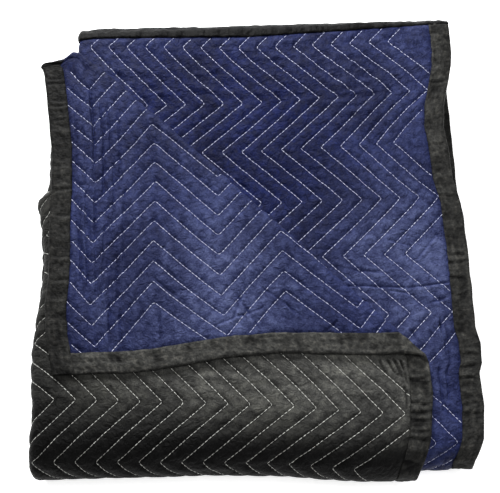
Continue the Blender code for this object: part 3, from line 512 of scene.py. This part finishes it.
def half_thickness(u, v, side):
    """How far a face stands off the cloth's middle: on a stitch line low, between two a
    pillow with a broad crest, gathered into small puckers, and flat in the rim."""
    line, row = to_lattice(u, v)
    beyond = np.maximum(np.maximum(FIRST_LINE - line, line - LAST_LINE), 0)
    away = np.where(beyond > 0, np.minimum(2 * beyond, 1), 1 - 2 * np.abs(line % 1 - 0.5))
    pillow = 1 - (1 - away) ** 2.2
    underside = (u >= TOP_PLY_U) & (v >= UNDERSIDE_V) & (v <= ROLL_V)
    crest = np.where(underside & (side > 0), FLOOR_CREST_HALF, CREST_HALF)
    quilt = STITCH_HALF + (crest - STITCH_HALF) * pillow
    quilt = quilt - 0.0004 * np.maximum(1 - away / 0.14, 0) ** 2
    along = row * ZIGZAG_ROW / 0.0052
    gather = GATHER * grain(along + 40, line * 2.0, 11) * (0.35 + 0.65 * (1 - away))
    gather += 0.00030 * grain(along * 0.5 + 9, line * 1.3, 12)
    long = np.where(u > OUTER_FOLD_U, 0.055, 0.019)
    across = grain(u / long + 3, v / 0.0065, 21)
    across = across + 0.5 * grain(u / (0.5 * long), v / 0.0042 + 7, 22)
    near_back = 1 - ease((LENGTH - 0.05 - v) / 0.15)
    patchy = 0.3 + 0.7 * ease(0.5 + 0.9 * grain(u / 0.05 + 2, v / 0.03, 23))
    puckers = PUCKER * np.maximum(across, -0.3) * (near_back + 0.25) * patchy
    puckers = np.where(side < 0, puckers, PUCKER_BLACK * across)
    for line_and_depth in CREASES[side]:
        puckers = puckers + crease(u * 1000, v * 1000, *line_and_depth)
    broad = BROAD * (1 + grain(u / 0.055, v / 0.045 + 4, 31))
    free = np.where(underside, 0.0, 1.0) * ease(np.abs(v - ROLL_V) / 0.018)
    quilt = quilt + free * (gather + puckers + broad * pillow)
    shows = ease(within(SHOWN[side], u, v) / FADES_OVER[side])
    half = PLAIN_HALF + (quilt - PLAIN_HALF) * shows
    inside = part_way(from_edge(u, v), RIM_FLAT, RIM_FULL)
    return RIM_HALF + (half - RIM_HALF) * (1 - (1 - inside) ** 2)


PERIMETER_COUNTS = (445, 508, 445, 508)  # points along each side, corners included
RIM_STEP = 0.0030           # from a point to the next on the line inside the binding
CREASE_OFFS = (-3.2, -1.8, -0.8, 0, 0.8, 1.8, 3.0)  # rows of points beside a crease, mm
CREASE_STEP = 2.2           # and from one to the next along it
# Rows of points between two stitch lines, and from one to the next along them
LATTICE_SHARES = np.array([0, 0.07, 0.17, 0.30, 0.43, 0.57, 0.70, 0.83, 0.93])
LATTICE_ROW, UNDERSIDE_ROW = 1 / 28, 3 / 28
UNDERSIDE_SHARES = LATTICE_SHARES[[0, 2, 4, 5, 7]]
GRID_STEP = 0.030           # from a point to the next where the cloth is hidden


def bend_stations(legs, count):
    """Distances along the cloth: `count` facets to a bend, a grid step on the runs between."""
    stations = []
    for index, (length, turn, _) in enumerate(legs):
        steps = count[index] if turn else max(1, round(length / GRID_STEP))
        stations += [leg_start(legs, index) + length * k / steps for k in range(steps)]
    return np.array(stations[1:])


def perimeter():
    """Points all round the cloth inside the binding, and the edges that join them."""
    u0, u1, v0, v1 = BODY_INSET, WIDTH - BODY_INSET, BODY_INSET, LENGTH - BODY_INSET
    corners = [(u0, v0), (u1, v0), (u1, v1), (u0, v1), (u0, v0)]
    points = np.concatenate([np.linspace(corners[k], corners[k + 1], count)[:-1]
                             for k, count in enumerate(PERIMETER_COUNTS)])
    return points, [(k, (k + 1) % len(points)) for k in range(len(points))]


def lattice_points(side, patches, unless, shares, row_step, start):
    """Points that follow the stitch lines over some patches, but not over others, with none
    but a line's own beside a crease, and the edges along each line. start numbers them."""
    lines = (np.arange(-4, 86)[:, None] + shares[None, :]).ravel()
    line, row = np.meshgrid(lines, np.arange(-1.5, 30.5, row_step), indexing="ij")
    u, v = on_lattice(line, row)
    keep = (within(patches, u, v) > 0) & (from_edge(u, v) > RIM_FLAT + 0.0012)
    between = np.arange(len(lines)) % len(shares) > 0
    keep[between] &= near_crease(u[between], v[between], side) > 4.0
    if unless is not None:
        keep &= within(unless, u, v) < -0.002
    number = np.full(u.shape, -1)
    number[keep] = start + np.arange(keep.sum())
    on_line = number[~between]
    joined = (on_line[:, 1:] >= 0) & (on_line[:, :-1] >= 0)
    edges = np.column_stack([on_line[:, :-1][joined], on_line[:, 1:][joined]])
    return np.column_stack([u[keep], v[keep]]), edges.tolist()


def crease_points(at_u, at_v, to_u, to_v):
    """Rows of points beside one crease, where they keep off the stitch lines and the rim."""
    du, dv, length = line_way(at_u, at_v, to_u, to_v)
    along, off = np.meshgrid(np.arange(0, length, CREASE_STEP), CREASE_OFFS)
    u = ((at_u + along * du - off * dv) / 1000).ravel()
    v = ((at_v + along * dv + off * du) / 1000).ravel()
    line, _ = to_lattice(u, v)
    keep = (np.abs((line + 0.5) % 1 - 0.5) > 0.035) & (from_edge(u, v) > RIM_FLAT + 0.002)
    return np.column_stack([u[keep], v[keep]])


def face(side):
    """Flat points and triangles of one face of the cloth. Where it shows they are a lattice
    that follows the stitch lines, and rows along the creases; elsewhere a plain grid, closer
    on the bends; and a row round the rim. The perimeter's points come first."""
    rim, edges = perimeter()
    points = [rim]
    if side < 0:
        levels = [(SHOWS["blue"], None, LATTICE_SHARES, LATTICE_ROW)]
    else:
        levels = [(SHOWS["black"], None, LATTICE_SHARES, LATTICE_ROW),
                  (SHOWS["underside"], SHOWS["black"], UNDERSIDE_SHARES, UNDERSIDE_ROW)]
    for level in levels:
        more, joins = lattice_points(side, *level, sum(len(p) for p in points))
        points.append(more)
        edges += joins
    grid_u = bend_stations(ACROSS, {1: 8, 3: 8, 5: 12})
    grid_v = np.union1d(bend_stations(ALONG, {1: 6, 3: 14, 5: 24}),
                        np.arange(LENGTH - 0.095, LENGTH - RIM_FULL - 0.002, 0.0045))
    u, v = (a.ravel() for a in np.meshgrid(grid_u, grid_v, indexing="ij"))
    keep = (within(SHOWN[side], u, v) < -0.0025) & (from_edge(u, v) > RIM_FLAT + 0.002)
    points.append(np.column_stack([u[keep], v[keep]]))
    points += [crease_points(*ends) for *ends, _ in CREASES[side]]
    s = np.arange(RIM_FLAT, WIDTH - RIM_FLAT, RIM_STEP)
    t = np.arange(RIM_FLAT + RIM_STEP, LENGTH - RIM_FLAT - 0.002, RIM_STEP)
    points += [np.column_stack([s, np.full_like(s, v)]) for v in (RIM_FLAT, LENGTH - RIM_FLAT)]
    points += [np.column_stack([np.full_like(t, u), t]) for u in (RIM_FLAT, WIDTH - RIM_FLAT)]
    flat = [Vector(point) for point in np.concatenate(points)]
    found = delaunay_2d_cdt(flat, edges, [], 1, 1e-6)
    return np.array([(p.x, p.y) for p in found[0]]), np.array(found[2]), len(rim)


def new_object(name, data):
    """An object with this data, in the scene at the origin."""
    obj = bpy.data.objects.new(name, data)
    bpy.context.scene.collection.objects.link(obj)
    return obj


def smooth_mesh(name, coordinates, faces):
    """A smooth-shaded mesh object from points and faces."""
    mesh = bpy.data.meshes.new(name)
    mesh.from_pydata(coordinates.reshape(-1, 3), [], faces)
    mesh.polygons.foreach_set("use_smooth", np.ones(len(mesh.polygons), bool))
    return new_object(name, mesh)


def keep_value(obj, name, *values):
    """Keeps a value, or the three parts of a place, at each point for the materials."""
    kind, key = ("FLOAT", "value") if len(values) == 1 else ("FLOAT_VECTOR", "vector")
    layer = obj.data.attributes.new(name, kind, "POINT")
    layer.data.foreach_set(key, np.stack(values, axis=-1).ravel())


# Patches on the navy face, painted paler where the amount is positive (a painted pool of light,
# with some lint and rubbing) and darker where it is negative (painted shade beside the diagonal
# fold and towards the back): (u, v, reach, how much)
PAINTED_LIGHT_AND_LINT = [
    (0.07, 1.70, 0.10, 0.50), (0.25, 1.86, 0.12, -0.36), (0.33, 1.93, 0.08, -0.15),
    (1.70, 1.83, 0.08, 0.62), (1.60, 1.88, 0.08, 0.05), (1.72, 1.92, 0.06, 0.22)]

black_flat, black_faces, ring = face(1)
blue_flat, blue_faces, _ = face(-1)
cloth_u, cloth_v = np.concatenate([black_flat, blue_flat]).T
blacks = len(black_flat)
side = np.where(np.arange(len(cloth_u)) < blacks, 1, -1)
half = np.concatenate([half_thickness(*black_flat.T, 1), half_thickness(*blue_flat.T, -1)])
first = np.arange(ring)
second = (first + 1) % ring
wall = np.column_stack([first, blacks + first, blacks + second, second])
cloth = smooth_mesh(
    "quilted_blanket", np.column_stack(fold(cloth_u, cloth_v, side * half)),
    [*black_faces.tolist(), *(blue_faces[:, ::-1] + blacks).tolist(), *wall.tolist()])
is_blue = np.zeros(len(cloth.data.polygons), int)
is_blue[len(black_faces):] = 1
cloth.data.polygons.foreach_set("material_index", is_blue)
keep_value(cloth, "flat_place", cloth_u, cloth_v, 0 * cloth_u)

# Lint and painted light: on the top ply's black face paler on the top than down the front
# roll, the light's fall-off painted, and more to the right, a painted pool of light; on
# both faces more on the crests, so that the stitch trenches carry painted shade
painted_light_rightward = 0.25 + 0.75 * ease((cloth_u - TOP_PLY_U) / 0.18) \
    + 0.3 * ease((cloth_u - TOP_PLY_U - 0.2) / 0.2)
lint_and_light_on_black = ease((cloth_v - TOP_SLAB_V + 0.005) / 0.083) * painted_light_rightward
lint_and_light_on_blue = 0.23 + sum(
    amount * np.exp(-((cloth_u - at_u) ** 2 + (cloth_v - at_v) ** 2) / reach ** 2)
    for at_u, at_v, reach, amount in PAINTED_LIGHT_AND_LINT)
# Lower in the stitch trenches than on the crests: painted shade in the trenches
painted_trench_shade = np.clip(1.0 + (half - 0.0026) / 0.0028, 0.25, 1.35)
keep_value(cloth, "lint_and_painted_light", np.clip(np.where(side > 0, lint_and_light_on_black, lint_and_light_on_blue) * painted_trench_shade, 0, 1))


def linear(code):
    """An sRGB hex colour as linear RGBA."""
    parts = [int(code[k:k + 2], 16) / 255 for k in (1, 3, 5)]
    return (*(c / 12.92 if c <= 0.04045 else ((c + 0.055) / 1.055) ** 2.4 for c in parts), 1.0)


def add_node(tree, kind, inputs=(), stops=(), **settings):
    """Adds a shader node. inputs sets its sockets, each to a value or linked to an output;
    stops sets a ramp's colours, as rows (position, hex)."""
    node = tree.nodes.new(kind)
    for key, value in settings.items():
        setattr(node, key, value)
    for key, value in dict(inputs).items():
        if isinstance(value, bpy.types.NodeSocket):
            tree.links.new(value, node.inputs[key])
        else:
            node.inputs[key].default_value = value
    if stops:
        for _ in stops[2:]:
            node.color_ramp.elements.new(0.5)
        for element, (position, code) in zip(node.color_ramp.elements, stops):
            element.position, element.color = position, linear(code)
    return node


def new_finish(name, roughness, sheen=0.0, sheen_roughness=0.4, specular=0.24):
    """A material, its node tree and its shader, with the shader's plain values set."""
    material = bpy.data.materials.new(name)
    material.use_nodes = True
    shader = material.node_tree.nodes["Principled BSDF"]
    for key, value in (("Roughness", roughness), ("IOR", 1.45), ("Specular IOR Level", specular),
                       ("Sheen Weight", sheen), ("Sheen Roughness", sheen_roughness)):
        shader.inputs[key].default_value = value
    return material, material.node_tree, shader


def shell_finish(name, clean_and_shaded, dusty_and_lit, roughness, sheen):
    """Needled polyester non-woven: fibres lie in all directions, so its colour is mottled
    every 9 mm or so, with fine fibre flecks and soft crumples, and a faint sheen."""
    material, tree, shader = new_finish(name, roughness, sheen, 0.5, 0.11)
    place = add_node(tree, "ShaderNodeAttribute", attribute_name="flat_place").outputs["Vector"]
    mottle, wide, fibre, crumple = (
        add_node(tree, "ShaderNodeTexNoise", {
            "Vector": place, "Scale": 1 / size, "Detail": detail, "Roughness": rough,
            "Distortion": bent}).outputs["Fac"]
        for size, detail, rough, bent in ((0.009, 5.0, 0.62, 0.0), (0.11, 2.0, 0.5, 0.0),
                                          (0.0016, 3.0, 0.7, 0.0), (0.007, 4.0, 0.55, 0.9)))
    both = add_node(tree, "ShaderNodeMix", {"Factor": 0.42, "A": mottle, "B": wide})
    with_fibre = add_node(tree, "ShaderNodeMix", {
        "Factor": 0.28, "A": both.outputs["Result"], "B": fibre}).outputs["Result"]
    # This point value mixes the darker ramp into the paler one: partly lint, partly painted light
    # (paler on the lit top, darker down the front roll and beside the diagonal fold)
    lint_and_painted_light = add_node(tree, "ShaderNodeAttribute", attribute_name="lint_and_painted_light").outputs["Fac"]
    clean_and_shaded, dusty_and_lit = (
        add_node(tree, "ShaderNodeValToRGB", {"Fac": with_fibre}, stops).outputs["Color"]
        for stops in (clean_and_shaded, dusty_and_lit))
    colour = add_node(tree, "ShaderNodeMix", {0: lint_and_painted_light, 6: clean_and_shaded, 7: dusty_and_lit}, data_type="RGBA")
    tree.links.new(colour.outputs[2], shader.inputs["Base Color"])
    folds = add_node(tree, "ShaderNodeBump", {
        "Height": crumple, "Distance": 0.0036, "Strength": 0.9})
    felt = add_node(tree, "ShaderNodeBump", {
        "Height": fibre, "Distance": 0.0003, "Strength": 0.6, "Normal": folds.outputs["Normal"]})
    tree.links.new(felt.outputs["Normal"], shader.inputs["Normal"])
    return material


# Each face has a clean, darker ramp and a dusty, paler one; the paler one is partly lint and partly
# a painted lit copy of the same cloth
cloth.data.materials.append(shell_finish(
    "black_nonwoven_shell", [(0.32, "#020202"), (0.48, "#060606"), (0.66, "#0e0e0e")],
    [(0.36, "#242423"), (0.48, "#434341"), (0.61, "#696963")], 0.62, 0.02))
cloth.data.materials.append(shell_finish(
    "navy_nonwoven_shell", [(0.37, "#020521"), (0.48, "#060d30"), (0.60, "#141d4b")],
    [(0.37, "#1a2040"), (0.48, "#33395c"), (0.60, "#565e83")], 0.60, 0.02))
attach(cloth, "root")
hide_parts("quilted_cloth")

# ---- Quilting stitches --------------------------------------------------------------------
# Pale polyester thread, lock-stitched through the whole cloth, about five millimetres to a
# stitch. Each stitch is drawn down at both ends, where the thread goes through the cloth.

STITCH_PITCH = 0.0050
STITCH_SHOWN = 0.0045       # of each pitch, the part that lies on top
THREAD_HALF_WIDTH = 0.00034
THREAD_HALF_HEIGHT = 0.00030
THREAD_CUTS = 5             # sections along a stitch, and points round each


def stitches(name, side, patches):
    """Every stitch of one face that lies within the patches, in one mesh. A stitch is a
    five-sided tube along its piece of the zigzag line, thickest and highest half way."""
    rows = np.arange(-1.2, 30.2, 1 / 400)
    centre_u, centre_v = [], []
    for line in range(FIRST_LINE, LAST_LINE + 1):
        u, v = on_lattice(np.full_like(rows, line), rows)
        length = np.concatenate([[0], np.cumsum(np.hypot(np.diff(u), np.diff(v)))])
        starts = np.arange(0.001 * ((line * 7) % 5), length[-1] - STITCH_PITCH, STITCH_PITCH)
        stations = starts[:, None] + STITCH_SHOWN * np.linspace(0, 1, THREAD_CUTS)[None, :]
        centre_u.append(np.interp(stations, length, u))
        centre_v.append(np.interp(stations, length, v))
    u, v = np.concatenate(centre_u), np.concatenate(centre_v)
    middle = THREAD_CUTS // 2
    shown = within(patches, u[:, middle], v[:, middle]) > 0.001
    shown &= from_edge(u, v).min(axis=1) > TAPE_WIDTH - 0.001
    u, v = u[shown], v[shown]
    heading = np.arctan2(v[:, -1:] - v[:, :1], u[:, -1:] - u[:, :1])
    share = np.linspace(-1, 1, THREAD_CUTS)[None, :, None]
    bow = np.sqrt(np.maximum(1 - 0.88 * share ** 2, 0))
    angle = 2 * np.pi * (np.arange(THREAD_CUTS) + 0.5)[None, None, :] / THREAD_CUTS
    aside = THREAD_HALF_WIDTH * bow * np.cos(angle)
    lift = THREAD_HALF_HEIGHT * bow * np.sin(angle) + 0.00035 * (bow - 0.7)
    ring_u = u[:, :, None] - aside * np.sin(heading)[:, :, None]
    ring_v = v[:, :, None] + aside * np.cos(heading)[:, :, None]
    base = half_thickness(u, v, side)[:, :, None] + 0.0001
    at = np.stack(fold(ring_u, ring_v, side * (base + lift)), axis=-1)
    number = np.arange(ring_u.size).reshape(ring_u.shape)
    a, b = number[:, :-1, :], number[:, 1:, :]
    sides = np.stack([a, b, np.roll(b, -1, axis=2), np.roll(a, -1, axis=2)], axis=-1)
    sides, ends = sides.reshape(-1, 4), np.concatenate([number[:, 0], number[:, -1, ::-1]])
    if side > 0:
        sides, ends = sides[:, ::-1], ends[:, ::-1]
    return smooth_mesh(name, at, sides.tolist() + ends.tolist())


def thread_finish(name, code, dark):
    """Twisted polyester thread: pale, with a slight gloss, and a shade darker where the
    ply of the twist turns away."""
    material, tree, shader = new_finish(name, 0.55, 0.2)
    place = add_node(tree, "ShaderNodeTexCoord").outputs["Object"]
    twist = add_node(tree, "ShaderNodeTexNoise", {
        "Vector": place, "Scale": 1 / 0.0022, "Detail": 2.0}).outputs["Fac"]
    colour = add_node(tree, "ShaderNodeValToRGB", {"Fac": twist}, [(0.35, dark), (0.6, code)])
    tree.links.new(colour.outputs["Color"], shader.inputs["Base Color"])
    return material


# The flap has none before this u, where they lie inside the folded corner
FLAP_STITCHES_FROM_U = 1.4108
FLAP_STITCHES = [*SHOWS["blue"][0], (1, 0, FLAP_STITCHES_FROM_U)]
blue_stitches = stitches("stitching_blue_side", -1, [FLAP_STITCHES, *SHOWS["blue"][1:]])
blue_stitches.data.materials.append(thread_finish("pale_thread", "#d3d6ec", "#9b9fc0"))
black_stitches = stitches("stitching_black_side", 1, SHOWN[1])
black_stitches.data.materials.append(
    thread_finish("pale_thread_on_black", "#dfe0da", "#a3a49f"))
for thread in (blue_stitches, black_stitches):
    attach(thread, "root")

# ---- Binding ------------------------------------------------------------------------------
# Black woven tape, folded in half over each edge and sewn down with two rows of stitches,
# which gather it into small cross wrinkles. The side tapes' ends are tucked in under the
# front and back ones.

TAPE_THICK = 0.0008
TAPE_BULGE = 0.0023         # half thickness of the bound edge
TUCKED_IN = 0.0006          # how far a side tape's end goes in under the tape across it
SEAMS = (0.0040, 0.0105)    # how far in from the tape's inner edge its two rows of stitches lie
SHOWN_STEP, HIDDEN_STEP = 0.0017, 0.010
EDGE_CUTS = 25


def tape_stations(first, last, shown):
    """Places along an edge: close together where it shows, further apart elsewhere."""
    marks, s = [first], first
    while s < last:
        s += SHOWN_STEP if any(a <= s <= b for a, b in shown) else HIDDEN_STEP
        marks.append(min(s, last))
    return np.array(marks)


def binding(name, node, stations, place, worn_and_painted_light, pleats, seed, mirrored=False):
    """Tape round one edge, as a strip s along it and t round it: t goes from the inner
    edge on the black face, over the cloth's edge, to the inner edge on the blue face. Its
    height is a flat arch, dented by two seams and raised in wrinkles and pleats that run
    across. place(s, e) is the flat place e in from the edge, worn has rows (where in mm,
    how pale: wear, and painted light and shade) and pleats rows (where, how far they lean,
    depth) in mm. The raised wrinkles are painted paler still, as painted highlights."""
    t = np.linspace(-1, 1, EDGE_CUTS)
    t = np.sign(t) * np.abs(t) ** 1.3
    s, t = np.meshgrid(stations, t, indexing="ij")
    inward = np.abs(t) * TAPE_WIDTH
    corner = np.sqrt(1 - (1 - np.clip(inward / 0.0032, 0, 1)) ** 2)
    height = TAPE_BULGE * corner * (1 - 0.16 * np.abs(t) ** 6)
    for seam in SEAMS:
        height = height - 0.00055 * np.exp(-((TAPE_WIDTH - inward - seam) / 0.0010) ** 2)
    face_seed = np.where(t > 0, 50.0, 0.0)
    bunch = 0.4 + 0.6 * np.exp(-((TAPE_WIDTH - inward - 0.0085) / 0.0060) ** 2)
    small = grain(s / 0.0036 + face_seed, inward / 0.011 + 3, seed)
    large = grain(s / 0.0085 + face_seed, inward / 0.019 + 8, seed + 1)
    along = grain(s / 0.055 + face_seed, inward / 0.0034 + 2, seed + 4)
    patchy = ease(0.5 + grain(s / 0.04 + 6, 0 * s + 1.5, seed + 5))
    relief = bunch * (0.00075 * small + 0.00130 * large) + 0.00095 * along * patchy
    for at_s, lean, deep in pleats:
        off = s * 1000 - at_s - lean * inward / TAPE_WIDTH
        off = off + 0.8 * grain(inward / 0.006 + at_s, 0 * s, seed)
        relief += deep / 1000 * dent(off, 0.8, 3.0) * ease(inward / 0.010)
    height = np.maximum(height + corner * relief, 0.0014 * corner)
    fine = 0.0005 * grain(s / 0.009, 0 * s + 0.5, seed + 3) * np.abs(t)
    wavy = 0.0007 * grain(s / 0.016, 0 * s + 0.5, seed + 2) * (1 - np.abs(t)) + fine
    outer_e, outer_n = inward + wavy, np.sign(-t) * height
    inner_e = np.maximum(inward, TAPE_THICK) + wavy
    inner_n = np.sign(-t) * np.maximum(height - TAPE_THICK, 0.00005)
    middle = EDGE_CUTS // 2
    outer_n[:, middle], inner_n[:, middle] = 0.0, 0.0
    s, e, n, relief = (np.concatenate([outer, inner[:, ::-1]], axis=1) for outer, inner in (
        (s, s), (outer_e, inner_e), (outer_n, inner_n), (relief, relief)))
    at = np.stack(fold(*place(s, e), n), axis=-1)
    cuts = s.shape[1]
    number = np.arange(s.size).reshape(s.shape)
    a, b = number[:-1], number[1:]
    sides = np.stack([a, np.roll(a, -1, axis=1), np.roll(b, -1, axis=1), b], axis=-1)
    half = np.arange(cuts // 2 - 1)
    cap = np.column_stack([half, half + 1, cuts - 2 - half, cuts - 1 - half])
    faces = np.concatenate([sides.reshape(-1, 4), cap[:, ::-1], number[-1][cap]])
    obj = smooth_mesh(name, at, (faces[:, ::-1] if mirrored else faces).tolist())
    keep_value(obj, "flat_place", s, e * np.sign(-n + 1e-9), 0 * s)
    # Paler as the table says, partly wear and partly painted light and shade, and paler still on
    # the raised wrinkles, which are painted highlights
    rubbed_and_painted_light = from_table(s, [(at, 1000 * amount) for at, amount in worn_and_painted_light])
    keep_value(obj, "wear_and_painted_light", np.clip(rubbed_and_painted_light * (0.92 + relief / 0.0019), 0.03, 1))
    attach(obj, "root")
    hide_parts(node)
    return obj


side_stations = tape_stations(TAPE_WIDTH - TUCKED_IN, LENGTH - TAPE_WIDTH + TUCKED_IN,
                              [(ROLL_V - 0.02, LENGTH)])
# Each binding's first table: how pale its tape is, partly wear and partly painted light, with
# painted shade on the back tape over the second ply, below 450 mm
bindings = [
    binding("tape_back", "binding_back",
            tape_stations(0.0, WIDTH, [(0, 0.445), (OUTER_FOLD_U - 0.02, WIDTH)]),
            lambda s, e: (s, LENGTH - e),
            [(450, 0.0), (1330, 0.20), (1500, 0.24), (1600, 0.34), (1776, 0.34)],
            [(1418, 0, 1.8), (1424, 0, 1.4), (1446, 3, 1.2), (1455, -2, 1.3), (1530, 2, 1.0),
             (1562, -3, 1.2), (1590, 2, 1.1), (1640, 1, 1.2), (1668, -2, 1.0)], 101, mirrored=True),
    binding("tape_front", "binding_front", tape_stations(0.0, WIDTH, []),
            lambda s, e: (s, e), [(0, 0.5)], [], 111),
    binding("tape_second_ply", "binding_second_ply", side_stations,
            lambda s, e: (e, s), [(1500, 0.42), (2000, 0.5)],
            [(1540, 1, 1.0), (1552, -2, 1.3), (1578, 2, 1.8), (1594, -3, 1.4), (1604, 3, 1.2),
             (1689, 2, 1.8), (1708, -1, 1.2), (1716, 1, 1.0), (1785, 2, 1.0), (1850, -1, 1.1),
             (1930, 1, 1.0)], 121, mirrored=True),
    binding("tape_top_ply", "binding_top_ply", side_stations,
            lambda s, e: (WIDTH - e, s),
            [(1540, 0.38), (1590, 0.60), (1640, 0.95), (1900, 0.98)],
            [(1606, -3, 1.6), (1598, 5, 1.2), (1577, 1, 1.8), (1570, -2, 1.2), (1560, 2, 1.7),
             (1550, -2, 1.3), (1541, 2, 1.4), (1530, 0, 1.1), (1519, 2, 1.2)], 131),
]


def tape_finish():
    """Woven polypropylene tape: near black, with fine ribs a millimetre apart across it,
    half matt, and greyer by a point value that is partly wear and partly painted light:
    painted highlights on the raised wrinkles, and painted shade along given stretches."""
    material, tree, shader = new_finish("black_woven_tape", 0.58, specular=0.07)
    place = add_node(tree, "ShaderNodeAttribute", attribute_name="flat_place").outputs["Vector"]
    rub = add_node(tree, "ShaderNodeTexNoise", {
        "Vector": place, "Scale": 1 / 0.0055, "Detail": 5.0, "Roughness": 0.68}).outputs["Fac"]
    wear_and_painted_light = add_node(tree, "ShaderNodeAttribute", attribute_name="wear_and_painted_light").outputs["Fac"]
    # A near-black ramp and a grey one, mixed by that value; the grey one is partly worn tape and
    # partly a painted lit copy of the tape
    new, rubbed_and_painted_light = (add_node(tree, "ShaderNodeValToRGB", {"Fac": rub}, stops).outputs["Color"]
                   for stops in ([(0.34, "#020203"), (0.52, "#040405"), (0.70, "#0a0a0b")],
                                 [(0.30, "#1c1c1c"), (0.52, "#3b3b39"), (0.74, "#5f5d58")]))
    colour = add_node(tree, "ShaderNodeMix", {0: wear_and_painted_light, 6: new, 7: rubbed_and_painted_light}, data_type="RGBA")
    tree.links.new(colour.outputs[2], shader.inputs["Base Color"])
    ribs = add_node(tree, "ShaderNodeTexWave", {
        "Vector": place, "Scale": 1000 / (2 * math.pi) / 1.1, "Distortion": 1.5, "Detail": 2.0,
        "Detail Scale": 2.0}, bands_direction="X")
    crumple = add_node(tree, "ShaderNodeTexNoise", {
        "Vector": place, "Scale": 1 / 0.005, "Detail": 4.0})
    folds = add_node(tree, "ShaderNodeBump", {
        "Height": crumple.outputs["Fac"], "Distance": 0.0024, "Strength": 0.9})
    weave = add_node(tree, "ShaderNodeBump", {
        "Height": ribs.outputs["Fac"], "Distance": 0.00010, "Strength": 0.35,
        "Normal": folds.outputs["Normal"]})
    tree.links.new(weave.outputs["Normal"], shader.inputs["Normal"])
    return material


tape_material = tape_finish()
for tape in bindings:
    tape.data.materials.append(tape_material)

# ---- Floor, light and camera ----------------------------------------------------------------
# A wide white floor that gives off light of its own, so that it stays white; a large soft
# light high behind, a weaker one over the front; and an even white fill. The camera stands
# over the front roll and looks down at the bundle.

floor_mesh = bpy.data.meshes.new("floor")
floor_mesh.from_pydata([(-8, -8, 0), (8, -8, 0), (8, 8, 0), (-8, 8, 0)], [], [(0, 1, 2, 3)])
floor = new_object("floor", floor_mesh)
floor_material, _, floor_shader = new_finish("white_floor", 0.9)
for key, value in (("Base Color", linear("#f7f7f7")), ("Emission Color", (1, 1, 1, 1)),
                   ("Emission Strength", 0.7)):
    floor_shader.inputs[key].default_value = value
floor_mesh.materials.append(floor_material)

world = bpy.data.worlds.new("studio")
world.use_nodes = True
fill = world.node_tree.nodes["Background"].inputs
fill["Color"].default_value = (1, 1, 1, 1)
fill["Strength"].default_value = 0.12
bpy.context.scene.world = world
bpy.context.scene.view_settings.view_transform = "Standard"


def soft_light(name, place, aim, size, watts):
    """A square area light at a place, pointed at another."""
    light = bpy.data.lights.new(name, "AREA")
    light.energy, light.size = watts, size
    obj = new_object(name, light)
    obj.location = place
    obj.rotation_euler = (Vector(aim) - Vector(place)).to_track_quat("-Z", "Y").to_euler()


soft_light("key", (-0.45, 1.75, 1.20), (0, 0, 0.04), 0.6, 82)
soft_light("top", (0.55, -0.1, 1.7), (0.1, -0.1, 0.04), 0.9, 18)

camera_data = bpy.data.cameras.new("camera")
camera_data.sensor_width = 36.0
camera_data.lens = 63.92
camera_data.clip_start = 0.05
camera = new_object("camera", camera_data)
camera.location = (0.00807, -0.31499, 1.01657)
right = Vector((0.99948767, -0.02514809, -0.01979824))
up = Vector((0.02993314, 0.95345909, 0.30003296))
camera.rotation_euler = Matrix((right, up, right.cross(up))).transposed().to_euler()
bpy.context.scene.camera = camera
